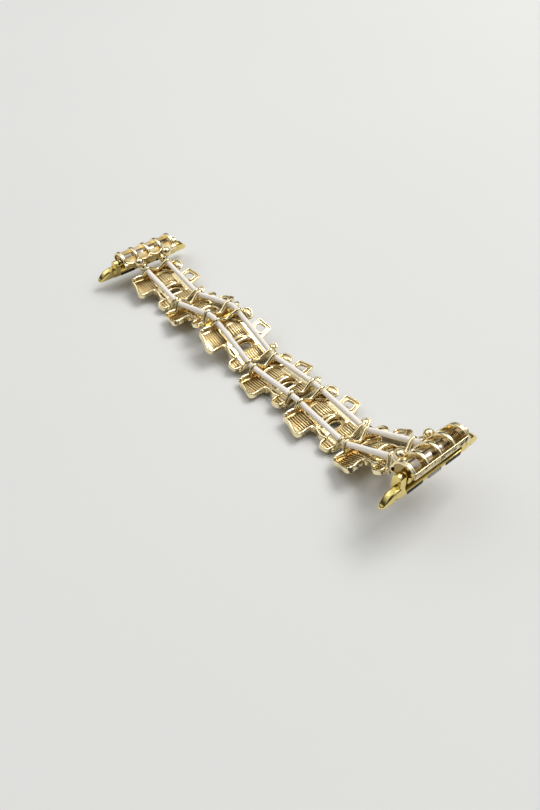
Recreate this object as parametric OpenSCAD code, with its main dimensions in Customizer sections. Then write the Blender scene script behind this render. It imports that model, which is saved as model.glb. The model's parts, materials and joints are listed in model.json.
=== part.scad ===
// Elastic watch strap: six cast links on a pair of cords, with a hoop barrel
// and a hinged slide-in lug at each end.
// Frame: +X along the strap, +Z up, skin side up, bottom centre of the box at 0.

/* [Cords] */
// Diameter of each cord
cord_d = 1.1; // [0.9:0.05:1.25]
// Spacing of the two cords, centre to centre
cord_gap = 5.5; // [5:0.1:6]
// Clearance of a cord in its hole, on the radius
cord_fit = 0.05; // [0.02:0.01:0.1]

/* [Links] */
// Length of a link over its end walls
link_len = 11.8; // [11:0.1:13]
// Thickness of the end walls
end_wall = 0.6; // [0.45:0.05:0.8]
// Width of the link's trough over its side walls
trough_w = 8.2; // [7.8:0.1:9]
// Thickness of the side walls
side_wall = 0.5; // [0.4:0.05:0.7]
// Depth of the front face below the cord centres
front_depth = 2.6; // [2.3:0.1:3]
// Thickness of the trough floor
floor_t = 0.8; // [0.6:0.1:1]
// Height of an end wall's humps above the cord centres
hump_h = 1; // [0.9:0.05:1.2]
// Depth of the dip between the humps below the cord centres
dip_h = 0.5; // [0.2:0.1:0.8]
// Length of the big wing along the strap
wing_len = 5.4; // [4.5:0.1:6]
// Reach of the big wing from the centre line
wing_reach = 7.8; // [7:0.1:8.4]
// Reach of the small tab from the centre line
tab_reach = 5.9; // [5.4:0.1:6.4]
// Reach of the open loop from the centre line
loop_reach = 7.3; // [6.8:0.1:7.8]
// Width of the raised rims
rim_w = 0.45; // [0.3:0.05:0.6]
// Spacing of the fine ribs
rib_pitch = 0.34; // [0.3:0.01:0.45]

/* [Barrels] */
// Outer radius of the hoops
hoop_r = 2.5; // [2.4:0.05:2.6]
// Thickness of the hoops around the polished tube
hoop_t = 1.1; // [0.6:0.05:1.3]
// Spacing of the five hoops
hoop_pitch = 3.16; // [3:0.02:3.2]
// Width of one hoop
hoop_w = 0.9; // [0.7:0.05:1.1]
// Distance of the cord rail's face from the pin axis
rail_face = 3.7; // [3.5:0.05:3.9]
// Diameter of the two balls
ball_d = 2.1; // [1.8:0.1:2.4]
// Spacing of the two balls
ball_gap = 7.1; // [6.6:0.1:7.6]
// Diameter of the hinge pin
pin_d = 1.5; // [1.2:0.1:1.6]
// Running clearance of the pin in the tube, on the radius
pin_fit = 0.04; // [0.02:0.01:0.08]

/* [Lugs] */
// Length of a lug over its pointed ends
lug_len = 24; // [23:0.1:25]
// Thickness of a lug
lug_t = 1.75; // [1.6:0.05:2]
// Depth of a lug's crossbar, away from the pin
lug_depth = 1.1; // [1:0.05:1.4]
// Gap between the hoops and the crossbar
lug_gap = 0.15; // [0.15:0.05:0.4]
// Offset of the crossbar from the pin axis, towards its skin face
lug_offset = 0.5; // [0.3:0.05:0.6]
// Outer radius of an ear
ear_r = 0.95; // [0.9:0.05:1.1]
// Length of a rubber pad
pad_len = 3.7; // [3:0.1:4.2]
// Distance of a pad's centre from the lug's centre
pad_pos = 4.75; // [4.3:0.05:5]
// Length of the lock button
button_len = 3.2; // [2.6:0.1:3.6]
// Travel of the lock button
button_travel = 0.3; // [0.2:0.05:0.35]

/* [Rest pose] */
// Gap between the left barrel and link 1
gap_0 = 1.1; // [1:0.05:1.5]
// Gap between links 1 and 2
gap_1 = 0.8; // [0.75:0.05:1.2]
// Gap between links 2 and 3
gap_2 = 2.6; // [2.3:0.05:3]
// Gap between links 3 and 4
gap_3 = 1.1; // [0.8:0.05:1.5]
// Gap between links 4 and 5
gap_4 = 2; // [1.2:0.05:2.4]
// Gap between links 5 and 6
gap_5 = 1; // [0.8:0.05:1.4]
// Gap between link 6 and the right barrel
gap_6 = 2.4; // [1.8:0.05:2.8]
// Slope of the left barrel
slope_left = -10.4; // [-20:0.1:0]
// Slope of link 1, positive when its right end is the higher one
slope_1 = -9.8; // [-14:0.1:-5]
// Slope of link 2
slope_2 = 19.4; // [12:0.1:24]
// Slope of link 3
slope_3 = -20.3; // [-24:0.1:-14]
// Slope of link 4
slope_4 = 5.6; // [0:0.1:10]
// Slope of link 5
slope_5 = -4.6; // [-8:0.1:0]
// Slope of link 6
slope_6 = 29.7; // [24:0.1:32]
// Slope of the right barrel
slope_right = 33.3; // [26:0.1:40]
// Angle of the left lug below the outward direction of its barrel
lug_angle_left = 88; // [60:1:130]
// Angle of the right lug below the outward direction of its barrel
lug_angle_right = 123.3; // [60:0.1:130]

/* [Hidden] */
$fn = 48;
eps = 0.01;
cord_r = cord_d / 2;
cord_y = cord_gap / 2;
hole_r = cord_r + cord_fit;
inner = link_len - 2 * end_wall;
half_w = trough_w / 2;
floor_z = floor_t - front_depth;
side_top = floor_z + 0.5;
wing_z = floor_z + 0.2;
wing_low = floor_z - 0.35;
rim_top = floor_z + 0.7;
loop_top = floor_z + 0.8;
loop_t = 0.9;
foot_w = half_w + 0.4;
foot_z = -1.2;
pin_r = pin_d / 2;
ball_r = ball_d / 2;
barrel_half = 2 * hoop_pitch + hoop_w / 2;
plate_t = 0.35;
tube_half = barrel_half - plate_t;
tube_r = hoop_r - hoop_t;
plate_r = tube_r + 0.1;
rail_high = 1.3;
rail_open = 0.2;
rail_out = rail_face - 1;
strip_out = hoop_r + 0.02;
strip_h = 0.45;
ball_x = rail_face - 0.42;
ball_z = 1.4;
ear_in = barrel_half + 0.18;
ear_out = ear_in + 1.35;
pin_half = ear_out - 0.1;
lug_near = hoop_r + lug_gap;
lug_far = lug_near + lug_depth;
deep_face = lug_offset - lug_t / 2;
skin_face = lug_offset + lug_t / 2;
fin_low = 1.2;
fin_curve = 3;
fin_root = ear_out - 0.3;
bore_step = cord_r + 0.07;
stub_end = 0.3;
pad_low = lug_near + 0.2;
pad_h = lug_far - 0.2 - pad_low;
pad_proud = 0.12;
button_fit = 0.06;
button_deep = skin_face - 0.8;
spring_r = 0.2;
spring_low = deep_face + 0.33;
dent_r = 0.25;
crimp_r = cord_r + 0.22;
boss_r = crimp_r + 0.25;
crimp_len = 0.5;

gaps = [gap_0, gap_1, gap_2, gap_3, gap_4, gap_5, gap_6];
slopes = [slope_1, slope_2, slope_3, slope_4, slope_5, slope_6];

// Unit vector at an angle, and its skin-side normal, in the X-Z plane
function along(a) = [cos(a), sin(a)];
function normal(a) = [-sin(a), cos(a)];
// Bend point before link i + 1, counted from bend point 0
function bend(i) = i == 0 ? [0, 0] : bend(i - 1)
    + (link_len + (gaps[i - 1] + gaps[i]) / 2) * along(slopes[i - 1]);
bends = [for (i = [0:6]) bend(i)];
left_axis = -(rail_face + gap_0 / 2) * along(slope_left);
right_axis = bends[6] + (rail_face + gap_6 / 2) * along(slope_right);

// Points that can be the lowest or the outermost
function corner(i, x, z) = bends[i] + (gaps[i] / 2 + x) * along(slopes[i])
    + z * normal(slopes[i]);
link_corners = [for (i = [0:5], x = [0, link_len]) corner(i, x, -front_depth)];
lug_dir_left = 180 + slope_left + lug_angle_left;
lug_dir_right = slope_right - lug_angle_right;
function lug_corner(axis, dir, p, q) = axis + p * along(dir) + q * normal(dir);
nose = 0.35;
lug_sides = [deep_face + nose, skin_face - nose];
lug_corners = concat(
    [for (q = lug_sides) lug_corner(left_axis, lug_dir_left, lug_far - nose, -q)],
    [for (q = lug_sides) lug_corner(right_axis, lug_dir_right, lug_far - nose, q)]);
low = min([for (c = link_corners) c[1]]);
strip_reach = right_axis[0] + strip_out * cos(slope_right) + strip_h * sin(slope_right);
x_min = min(left_axis[0] - strip_out, min([for (c = lug_corners) c[0] - nose]));
x_max = max(strip_reach, max([for (c = lug_corners) c[0] + nose]));
shift = [-(x_min + x_max) / 2, -min(low, min([for (c = lug_corners) c[1] - nose]))];

// Colours of the view
gold = [0.93, 0.80, 0.55];
bright_gold = [0.90, 0.72, 0.30];
cord_white = [0.95, 0.93, 0.88];
rubber_black = [0.05, 0.05, 0.06];
steel = [0.62, 0.62, 0.64];

// Which piece to show

// Places a link: origin on the cord line at the inner face of its start wall
module at_link(i) {
    p = bends[i - 1] + shift;
    translate([p[0], 0, p[1]])
    rotate([0, -slopes[i - 1], 0])
    translate([gaps[i - 1] / 2 + end_wall, 0, 0])
    children();
}

// Places a barrel: origin on the pin axis, +X towards the links
module at_left() {
    p = left_axis + shift;
    translate([p[0], 0, p[1]])
    rotate([0, -slope_left, 0])
    children();
}

module at_right() {
    p = right_axis + shift;
    translate([p[0], 0, p[1]])
    rotate([0, -slope_right, 0])
    rotate([0, 0, 180])
    children();
}

// Places a lug: +X away from the pin axis, +Z the face that is on the skin side in wear
module lug_turn(a) {
    rotate([0, 180 - a, 0])
    mirror([0, 0, 1])
    children();
}

// A solid with an outline in Y-Z, drawn along X from x0 to x1
module slab_x(x0, x1) {
    translate([x0, 0, 0])
    rotate([90, 0, 90])
    linear_extrude(x1 - x0)
    children();
}

// A solid with an outline in X-Z, drawn along Y from y0 to y1
module slab_y(y0, y1) {
    translate([0, y1, 0])
    rotate([90, 0, 0])
    linear_extrude(y1 - y0)
    children();
}

module rod_x(r, x0, x1) {
    translate([x0, 0, 0])
    rotate([0, 90, 0])
    cylinder(r = r, h = x1 - x0);
}

module rod_y(r, y0, y1) {
    translate([0, y0, 0])
    rotate([-90, 0, 0])
    cylinder(r = r, h = y1 - y0);
}

module cord_pair() {
    for (s = [-1, 1])
    translate([0, s * cord_y, 0])
    children();
}

module box(x0, x1, y0, y1, z0, z1) {
    translate([x0, y0, z0])
    cube([x1 - x0, y1 - y0, z1 - z0]);
}

// Outline of an end wall: a hump over each cord and a dip between
function hump(y) = let (t = abs(y) / cord_y)
    t < 1 ? hump_h - (hump_h + dip_h) * (1 + cos(180 * t)) / 2
    : hump_h + (foot_z - hump_h) * (1 - cos(180 * (abs(y) - cord_y) / (foot_w - cord_y))) / 2;
module wall_outline() {
    n = 16;
    polygon(concat(
        [for (k = [-n:n]) let (y = foot_w * k / n) [y, hump(y)]],
        [[half_w, floor_z], [half_w - 0.3, -front_depth],
        [0.3 - half_w, -front_depth], [-half_w, floor_z]]));
}

// Fine ribs from y0 to y1, over a flat or crowned top
function comb(y0, y1, top, crown) = let (n = floor((y1 - y0) / rib_pitch),
    w = (y1 - y0) / n, m = (y0 + y1) / 2, h = (y1 - y0) / 2)
    [for (k = [0:n - 1], j = [[0, 0], [0.1, 0.1], [0.5, 0.1], [0.6, 0]])
        let (y = y0 + (k + j[0]) * w)
        [y, top + j[1] + crown * (1 - pow((y - m) / h, 2))]];
module comb_outline(y0, y1, top, crown) {
    polygon(concat([[y0, floor_z - 0.2]], comb(y0, y1, top, crown),
        [[y1, top], [y1, floor_z - 0.2]]));
}

// Plan of the trough floor with its openings
module trough_plan() {
    difference() {
        translate([-end_wall, -half_w])
        square([link_len, trough_w]);
        translate([inner * 0.57, -window_w * 0.6])
        square([window_len, window_w]);
        translate([inner * 0.53, -half_w + side_wall])
        square([window_len + 0.4, slit_w]);
    }
}

// Plan of the big wing; in = distance inside its outline
wing_end = wing_len - end_wall;
function wing_plan(in) = [[-end_wall + in, -half_w + 0.6], [-end_wall + in, -wing_reach + 1.5],
    [-end_wall + 0.5 + in * 0.6, -wing_reach + 0.9 + in],
    [wing_end * 0.6, -wing_reach + 0.3 + in], [wing_end - 0.9 - in * 0.3, -wing_reach + in],
    [wing_end - 0.3 - in * 0.8, -wing_reach + 0.3 + in * 0.8],
    [wing_end - in, -wing_reach + 1.2 + in * 0.2], [wing_end - in, -half_w + 0.6]];
window_len = 1.5;
window_w = 3.3;
slit_w = 0.55;
pocket_len = 1.2;
tab_x = inner * 0.76;
tab_end = inner - 0.2;
function tab_plan(in) = [[tab_x + in, -half_w + 0.6], [tab_x + in, -tab_reach + 0.5],
    [tab_x + 0.5 + in * 0.5, -tab_reach + in], [tab_end - 0.5 - in * 0.5, -tab_reach + in],
    [tab_end - in, -tab_reach + 0.5], [tab_end - in, -half_w + 0.6]];
loop_x = 3.5;
loop_w = 3.4;
loop_lean = 0.65;
loop_hole = 0.95;
function loop_plan() = [[loop_x, half_w - 0.3], [loop_x - loop_lean, loop_reach - 1.2],
    [loop_x - loop_lean + 0.3, loop_reach - 0.7],
    [loop_x + loop_w - loop_lean - 0.5, loop_reach],
    [loop_x + loop_w - loop_lean - 0.1, loop_reach - 0.3], [loop_x + loop_w, half_w - 0.3]];

module dome(x, y, r, top) {
    translate([x, y, floor_z - 0.2])
    cylinder(r = r, h = top - floor_z + 0.2 - r * 0.4);
    translate([x, y, top - r * 0.75])
    intersection() {
        sphere(r * 1.06);
        cylinder(r = r, h = r * 2);
    }
}

module link() {
    color(gold)
    difference() {
        union() {
            // trough floor and front cushion
            translate([0, 0, -front_depth + 0.3])
            linear_extrude(floor_t - 0.3)
            trough_plan();
            difference() {
                box(-end_wall + 0.3, inner + end_wall - 0.3, 0.3 - half_w, half_w - 0.3,
                    -front_depth, floor_z - eps);
                translate([0, 0, -front_depth - 1])
                linear_extrude(3)
                difference() {
                    square(3 * link_len, center = true);
                    trough_plan();
                }
            }
            // end walls
            slab_x(-end_wall, 0)
            wall_outline();
            slab_x(inner, inner + end_wall)
            wall_outline();
            // low side walls; on the left only past the wing
            box(-end_wall, inner + end_wall, half_w - side_wall, half_w,
                -front_depth + 0.3, side_top);
            box(wing_end - 0.3, inner + end_wall, -half_w, side_wall - half_w,
                -front_depth + 0.3, side_top);
            // outer bar between wing and tab
            box(wing_end - 0.3, tab_x + 0.3, -half_w - 0.35, 0.1 - half_w,
                -front_depth + 0.4, side_top - 0.2);
            // big wing with rim and ribs
            translate([0, 0, wing_low])
            linear_extrude(wing_z - 0.1 - wing_low)
            polygon(wing_plan(0));
            translate([0, 0, wing_low])
            linear_extrude(rim_top - wing_low)
            difference() {
                polygon(wing_plan(0));
                polygon(wing_plan(rim_w));
            }
            slab_x(0.2, wing_end - rim_w)
            comb_outline(-wing_reach + 1.5, 0.6 - half_w, wing_z, 0);
            // small tab
            translate([0, 0, wing_low])
            linear_extrude(wing_z - wing_low)
            polygon(tab_plan(0));
            translate([0, 0, wing_low])
            linear_extrude(rim_top - 0.1 - wing_low)
            difference() {
                polygon(tab_plan(0));
                polygon(tab_plan(rim_w * 0.9));
            }
            // open loop
            translate([0, 0, loop_top - loop_t])
            linear_extrude(loop_t)
            difference() {
                polygon(loop_plan());
                translate([loop_x + (loop_w - loop_lean) / 2, half_w + loop_hole + 0.2])
                circle(loop_hole);
            }
            // knobs at the corners
            dome(0.15, half_w + 0.65, 0.8, -0.5);
            dome(0.95, half_w + 0.6, 0.65, -0.6);
            dome(inner - 0.5, half_w + 0.55, 0.75, -0.7);
            // ribbed panels and the bar across the trough
            slab_x(0.6, inner * 0.43)
            comb_outline(-2.15, 2, floor_z + 0.1, 0.6);
            slab_x(inner * 0.745, inner * 0.95)
            comb_outline(-2.3, 2.5, floor_z + 0.15, 0);
            translate([inner * 0.51, 0, floor_z + 0.25])
            rod_y(0.55, -half_w + 0.2, 1.8);
        }
        cord_pair()
        rod_x(hole_r, -1, inner + end_wall + 1);
        // pocket beside the right-hand cord
        translate([0, 0, floor_z - 0.4])
        linear_extrude(2)
        polygon([[0, pocket_len + 0.3], [0, half_w - 0.7], [pocket_len, half_w - 0.7]]);
    }
}

// Cords of a link: they slide in its holes and end at the next bend point
module cords(i) {
    color(cord_white)
    at_link(i)
    cord_pair() {
        rod_x(cord_r, stub_end + 0.05, inner + end_wall + gaps[i] / 2);
        translate([inner + end_wall + gaps[i] / 2, 0, 0])
        sphere(cord_r);
    }
}

// Short fixed cord length in a link's start wall
module cord_neck(i) {
    color(cord_white)
    at_link(i)
    cord_pair()
    rod_x(cord_r, bore_step - end_wall - gaps[i - 1] / 2, stub_end);
}

module cord_root(reach, ball) {
    color(cord_white)
    cord_pair() {
        rod_x(cord_r, tube_r + 0.1, reach);
        if (ball)
        translate([reach, 0, 0])
        sphere(cord_r);
    }
}

module crimps() {
    color(steel)
    cord_pair()
    difference() {
        rod_x(crimp_r, tube_r + 0.1, tube_r + 0.1 + crimp_len);
        rod_x(cord_r, 0, 2 * rail_face);
    }
}

// Hoop barrel with cord rail, flat strip, end plates and balls
module barrel() {
    color(gold)
    difference() {
        union() {
            // hoops, arched over the skin side from the strip to the rail
            intersection() {
                for (k = [-2:2])
                rod_y(hoop_r, k * hoop_pitch - hoop_w / 2, k * hoop_pitch + hoop_w / 2);
                box(-strip_out, strip_out, -barrel_half, barrel_half, -strip_h, strip_out);
            }
            // lower halves of the end plates
            for (s = [0, 1])
            mirror([0, s, 0])
            rod_y(plate_r, tube_half, barrel_half);
            // cord rail
            slab_y(-barrel_half, barrel_half)
            polygon([[0.6, rail_open], [rail_out, rail_open], [rail_out, rail_high - 0.2],
                [rail_out - 0.2, rail_high], [0.6, rail_high]]);
            // collars round the cord ends
            cord_pair()
            rod_x(boss_r, 0.6, rail_face);
            // flat strip on the outer side
            box(-strip_out, 0.5 - tube_r, -barrel_half, barrel_half, -strip_h, strip_h);
            for (s = [-1, 1])
            translate([ball_x, s * ball_gap / 2, ball_z])
            sphere(ball_r);
        }
        rod_y(tube_r, -tube_half, tube_half);
        // end windows
        rod_y(pin_r + 0.1, -2 * barrel_half, 2 * barrel_half);
        slab_y(-2 * barrel_half, 2 * barrel_half)
        polygon([[1.25, -0.45], [1.25, 0.5], [2, 0]]);
        cord_pair()
        rod_x(hole_r, 0, 2 * rail_face);
        cord_pair()
        rod_x(crimp_r + 0.03, 0, tube_r + 0.15 + crimp_len);
    }
}

module tube() {
    color(steel)
    difference() {
        rod_y(tube_r, -tube_half, tube_half);
        rod_y(pin_r + pin_fit, -barrel_half, barrel_half);
    }
}

module pin() {
    color(bright_gold)
    rod_y(pin_r, -pin_half, pin_half);
}

// Edge of a lug's fin-shaped end, from the ear to the point at the far edge
function fin(s, steps) = [for (k = steps) let (u = k / 8)
    [fin_low + (lug_far - fin_low) * pow(u, fin_curve), s * (ear_out + u * (lug_len / 2 - ear_out))]];
module lug_plan() {
    polygon(concat([[lug_near, fin_root], [fin_low, fin_root]], fin(1, [0:8]),
        fin(-1, [8:-1:0]), [[fin_low, -fin_root], [lug_near, -fin_root]]));
}

// Section of a lug, with its far edge rounded
module lug_section() {
    translate([fin_low, deep_face])
    square([lug_far - nose - fin_low, lug_t]);
    translate([fin_low, deep_face + nose])
    square([lug_far - fin_low, lug_t - 2 * nose]);
    for (q = lug_sides)
    translate([lug_far - nose, q])
    circle(nose);
}

module lug() {
    color(bright_gold)
    difference() {
        union() {
            intersection() {
                slab_y(-lug_len / 2, lug_len / 2)
                lug_section();
                translate([0, 0, -lug_t])
                linear_extrude(3 * lug_t)
                lug_plan();
            }
            for (s = [0, 1])
            mirror([0, s, 0]) {
                // ear on its post
                rod_y(ear_r, ear_in, ear_out);
                box(0, pad_low, ear_in, ear_out, -ear_r, ear_r);
            }
        }
        rod_y(pin_r, -ear_out - 1, ear_out + 1);
        for (s = [-1, 1]) {
            box(pad_low, pad_low + pad_h, s * pad_pos - pad_len / 2, s * pad_pos + pad_len / 2,
                -lug_t, 2 * lug_t);
            // small round dent beside the ear
            translate([pad_low, s * (ear_out + 3 * dent_r), skin_face - dent_r])
            cylinder(r = dent_r, h = lug_t);
        }
        // seat of the lock button, its spring bore and the recess on the other face
        box(pad_low, pad_low + pad_h, -button_len / 2 - button_fit, button_len / 2 + button_fit,
            button_deep - button_travel - 0.05, 2 * lug_t);
        translate([pad_low + pad_h / 2, 0, spring_low])
        cylinder(r = spring_r + 0.05, h = lug_t);
        box(pad_low, pad_low + pad_h, -button_len * 0.35, button_len * 0.35,
            -lug_t, deep_face + 0.18);
    }
}

module pads() {
    color(rubber_black)
    for (s = [-1, 1])
    box(pad_low, pad_low + pad_h, s * pad_pos - pad_len / 2, s * pad_pos + pad_len / 2,
        deep_face - pad_proud, skin_face + pad_proud);
}

module button() {
    color(steel)
    box(pad_low + button_fit, pad_low + pad_h - button_fit, -button_len / 2, button_len / 2,
        button_deep, skin_face + pad_proud + 0.1);
}

module spring() {
    color(steel)
    translate([pad_low + pad_h / 2, 0, spring_low + eps])
    cylinder(r = spring_r, h = button_deep - spring_low - 2 * eps);
}

module link_1() { at_link(1) link(); }
module link_2() { at_link(2) link(); }
module link_3() { at_link(3) link(); }
module link_4() { at_link(4) link(); }
module link_5() { at_link(5) link(); }
module link_6() { at_link(6) link(); }
module cords_1() { cords(1); }
module cords_2() { cords(2); }
module cords_3() { cords(3); }
module cords_4() { cords(4); }
module cords_5() { cords(5); }
module cords_6() { cords(6); }
module cord_neck_1() { cord_neck(1); }
module cord_neck_2() { cord_neck(2); }
module cord_neck_3() { cord_neck(3); }
module cord_neck_4() { cord_neck(4); }
module cord_neck_5() { cord_neck(5); }
module cord_neck_6() { cord_neck(6); }
module cord_ends_left() { at_left() cord_root(rail_face + gap_0 / 2, true); }
module cord_ends_right() { at_right() cord_root(rail_face + gap_6 / 2 - bore_step, false); }
module crimps_left() { at_left() crimps(); }
module crimps_right() { at_right() crimps(); }
module barrel_left() { at_left() barrel(); }
module barrel_right() { at_right() barrel(); }
module tube_left() { at_left() tube(); }
module tube_right() { at_right() tube(); }
module pin_left() { at_left() pin(); }
module pin_right() { at_right() pin(); }
module lug_left() { at_left() lug_turn(lug_angle_left) lug(); }
module lug_right() { at_right() lug_turn(lug_angle_right) lug(); }
module pads_left() { at_left() lug_turn(lug_angle_left) pads(); }
module pads_right() { at_right() lug_turn(lug_angle_right) pads(); }
module button_left() { at_left() lug_turn(lug_angle_left) button(); }
module button_right() { at_right() lug_turn(lug_angle_right) button(); }
module spring_left() { at_left() lug_turn(lug_angle_left) spring(); }
module spring_right() { at_right() lug_turn(lug_angle_right) spring(); }

link_1();
link_2();
link_3();
link_4();
link_5();
link_6();
cords_1();
cords_2();
cords_3();
cords_4();
cords_5();
cords_6();
cord_ends_left();
cord_neck_1();
cord_neck_2();
cord_neck_3();
cord_neck_4();
cord_neck_5();
cord_neck_6();
cord_ends_right();
crimps_left();
crimps_right();
barrel_left();
barrel_right();
tube_left();
tube_right();
pin_left();
pin_right();
lug_left();
lug_right();
pads_left();
pads_right();
button_left();
button_right();
spring_left();
spring_right();
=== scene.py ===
"""Looks of an elastic watch strap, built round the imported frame.

Each piece is modelled in millimetres in its own axes and then placed by the frame's joints:
X runs along the strap, Y across it and Z towards the skin side. Lugs use X away from their pin.
"""

from __future__ import annotations

import json
import logging
import math
from collections.abc import Iterable, Sequence
from dataclasses import dataclass, field
from enum import Enum

import bmesh
import bpy
import numpy as np
from mathutils import Matrix, Vector
from mathutils.bvhtree import BVHTree

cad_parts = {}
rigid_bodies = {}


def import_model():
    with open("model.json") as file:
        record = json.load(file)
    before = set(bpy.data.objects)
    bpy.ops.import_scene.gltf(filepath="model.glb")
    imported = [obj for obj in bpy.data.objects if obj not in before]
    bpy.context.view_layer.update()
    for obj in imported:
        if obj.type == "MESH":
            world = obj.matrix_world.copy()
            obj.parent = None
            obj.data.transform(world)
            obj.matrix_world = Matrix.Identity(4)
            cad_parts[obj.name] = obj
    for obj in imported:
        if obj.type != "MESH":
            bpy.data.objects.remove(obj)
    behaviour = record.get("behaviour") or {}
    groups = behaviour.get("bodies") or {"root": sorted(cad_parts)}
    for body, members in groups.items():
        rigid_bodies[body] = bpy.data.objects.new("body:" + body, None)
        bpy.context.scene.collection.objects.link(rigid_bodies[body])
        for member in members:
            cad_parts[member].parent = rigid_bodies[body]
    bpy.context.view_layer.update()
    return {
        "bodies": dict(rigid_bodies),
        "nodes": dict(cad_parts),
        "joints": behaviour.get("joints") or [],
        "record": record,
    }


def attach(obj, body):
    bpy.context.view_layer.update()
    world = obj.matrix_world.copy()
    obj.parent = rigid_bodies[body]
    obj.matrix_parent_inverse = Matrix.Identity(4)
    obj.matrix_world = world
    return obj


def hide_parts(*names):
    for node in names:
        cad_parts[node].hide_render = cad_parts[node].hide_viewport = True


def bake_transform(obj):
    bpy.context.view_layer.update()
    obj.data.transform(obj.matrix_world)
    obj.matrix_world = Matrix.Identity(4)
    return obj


LOG = logging.getLogger("strap")
MM = 0.001
LINKS = 6
# The attribute that tells how shut in a point is, from 0 to 1, and so how much painted shade
# darkens the metal there; what exceeds 1 paints it darker still, towards near-black
HOLLOW_SHADE = "hollow"
# Size of the remesh's voxels in mm, and the share of the triangles that is kept
VOXEL, KEPT = 0.07, 0.4
Point = Sequence[float]


class Side(Enum):
    """The two ends of the strap."""

    LEFT = "left"
    RIGHT = "right"


# Places


@dataclass(frozen=True)
class Placement:
    """Where a piece's own axes lie in the frame.

    Args:
        origin: The piece's origin, in metres.
        along: The way of its X axis.
        up: The way of its Z axis.
    """

    origin: Vector
    along: Vector
    up: Vector

    def matrix(self) -> Matrix:
        """The matrix from the piece's millimetres to the frame's metres.

        Returns:
            The matrix, which also turns millimetres into metres.
        """
        across = self.up.cross(self.along)
        basis = Matrix((self.along, across, self.up)).transposed().to_4x4()
        return Matrix.Translation(self.origin) @ basis @ Matrix.Scale(MM, 4)

    def point(self, x: float, y: float, z: float) -> Vector:
        """A point of the piece in the frame, in metres."""
        return self.matrix() @ Vector((x, y, z))


@dataclass
class StrapLayout:
    """Places of links, barrels and lugs, worked out from the frame's joints and mounts.

    Args:
        link_len: Length of a link over its end walls, in mm.
        end_wall: Thickness of an end wall, in mm.
        rail_face: Distance of a barrel's cord rail from its pin axis, in mm.

    Attributes:
        bends: The bend points, from the left barrel on, in metres.
        pins: The middle of each hinge pin, in metres.
        gaps: The gap at each bend point along the cords, in mm.
    """

    frame: dict
    link_len: float = 11.8
    end_wall: float = 0.6
    rail_face: float = 3.7
    bends: list[Vector] = field(init=False)
    pins: dict[Side, Vector] = field(init=False)
    gaps: list[float] = field(init=False)

    def __post_init__(self) -> None:
        """Reads the bend points and pins and works the gaps out from them."""
        joints = {j["name"]: j for j in self.frame["joints"]}
        self.bends = [Vector(joints[f"bend_{k}"]["pos_m"]) for k in range(LINKS + 1)]
        self.pins = {s: Vector(joints[f"lug_swing_{s.value}"]["pos_m"]) for s in Side}
        first = (self.bends[0] - self.pins[Side.LEFT]).length / MM - self.rail_face
        self.gaps = [2 * first]
        for k in range(LINKS):
            reach = (self.bends[k + 1] - self.bends[k]).length / MM
            self.gaps.append(2 * (reach - self.link_len) - self.gaps[k])

    @staticmethod
    def _facing(origin: Vector, along: Vector) -> Placement:
        """A placement with its up vector square to along, in the plane of X and Z."""
        up = Vector((-along.z, 0, along.x))
        return Placement(origin, along, up if up.z > 0 else -up)

    def link(self, number: int) -> Placement:
        """The place of a link: origin on the cord line, at its start wall's inner face.

        Args:
            number: The link, counted from 1 at the left barrel.

        Returns:
            The placement.
        """
        start, end = self.bends[number - 1], self.bends[number]
        along = (end - start).normalized()
        inset = (self.gaps[number - 1] / 2 + self.end_wall) * MM
        return self._facing(start + along * inset, along)

    def barrel(self, side: Side) -> Placement:
        """The place of a barrel: origin on the pin axis, X towards the links."""
        bend = self.bends[0] if side is Side.LEFT else self.bends[LINKS]
        return self._facing(self.pins[side], (bend - self.pins[side]).normalized())

    def lug(self, side: Side) -> Placement:
        """The place of a lug: X away from the pin, Z its face on the skin side in wear.

        Args:
            side: The end of the strap.

        Returns:
            The placement.
        """
        mounts = {m["name"]: m for m in self.frame["record"]["mounts"]}
        away = Vector(mounts[f"lug_{side.value}"]["pos_m"]) - self.pins[side]
        away.normalize()
        up = Vector((away.z, 0, -away.x))
        outward = -self.barrel(side).along
        return Placement(self.pins[side], away, up if up.dot(outward) > 0 else -up)


# Meshes


def round_steps(start: float, end: float, count: int) -> np.ndarray:
    """Angles in radians from start to end degrees, both included."""
    return np.radians(np.linspace(start, end, count))


def circle(radius: float, sides: int, x: float = 0.0, y: float = 0.0) -> np.ndarray:
    """Corners of a round outline.

    Args:
        radius: Its radius, in mm.
        sides: Number of its corners.
        x: First coordinate of its middle.
        y: Second coordinate of its middle.

    Returns:
        The corners, one row each.
    """
    turn = round_steps(0, 360, sides + 1)[:-1]
    return np.c_[x + radius * np.cos(turn), y + radius * np.sin(turn)]


def grid_places(x: np.ndarray, y: np.ndarray) -> tuple[np.ndarray, ...]:
    """Crossings and cell middles of a grid.

    Args:
        x: Grid lines across X.
        y: Grid lines across Y.

    Returns:
        X and Y of the crossings, then X and Y of the cells' middles.
    """
    crossings = np.meshgrid(x, y, indexing="ij")
    middles = np.meshgrid((x[1:] + x[:-1]) / 2, (y[1:] + y[:-1]) / 2, indexing="ij")
    return *crossings, *middles


def smooth_path(points: Iterable[Point], per: int = 6, closed: bool = False) -> np.ndarray:
    """A Catmull-Rom curve through points.

    Args:
        points: The points, of two or three coordinates.
        per: Steps between two of them.
        closed: Whether the last one joins the first.

    Returns:
        The curve's points, one row each.
    """
    p = np.array(list(points), float)
    if closed:
        p = np.vstack([p[-1], p, p[0], p[1]])
    else:
        p = np.vstack([2 * p[0] - p[1], p, 2 * p[-1] - p[-2]])
    rows = []
    for a, b, c, d in zip(p[:-3], p[1:-2], p[2:-1], p[3:]):
        for t in np.arange(per) / per:
            rows.append(
                0.5 * (2 * b + (c - a) * t + (2 * a - 5 * b + 4 * c - d) * t**2
                       + (3 * b - a - 3 * c + d) * t**3)
            )
    if not closed:
        rows.append(p[-2])
    return np.array(rows)


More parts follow.
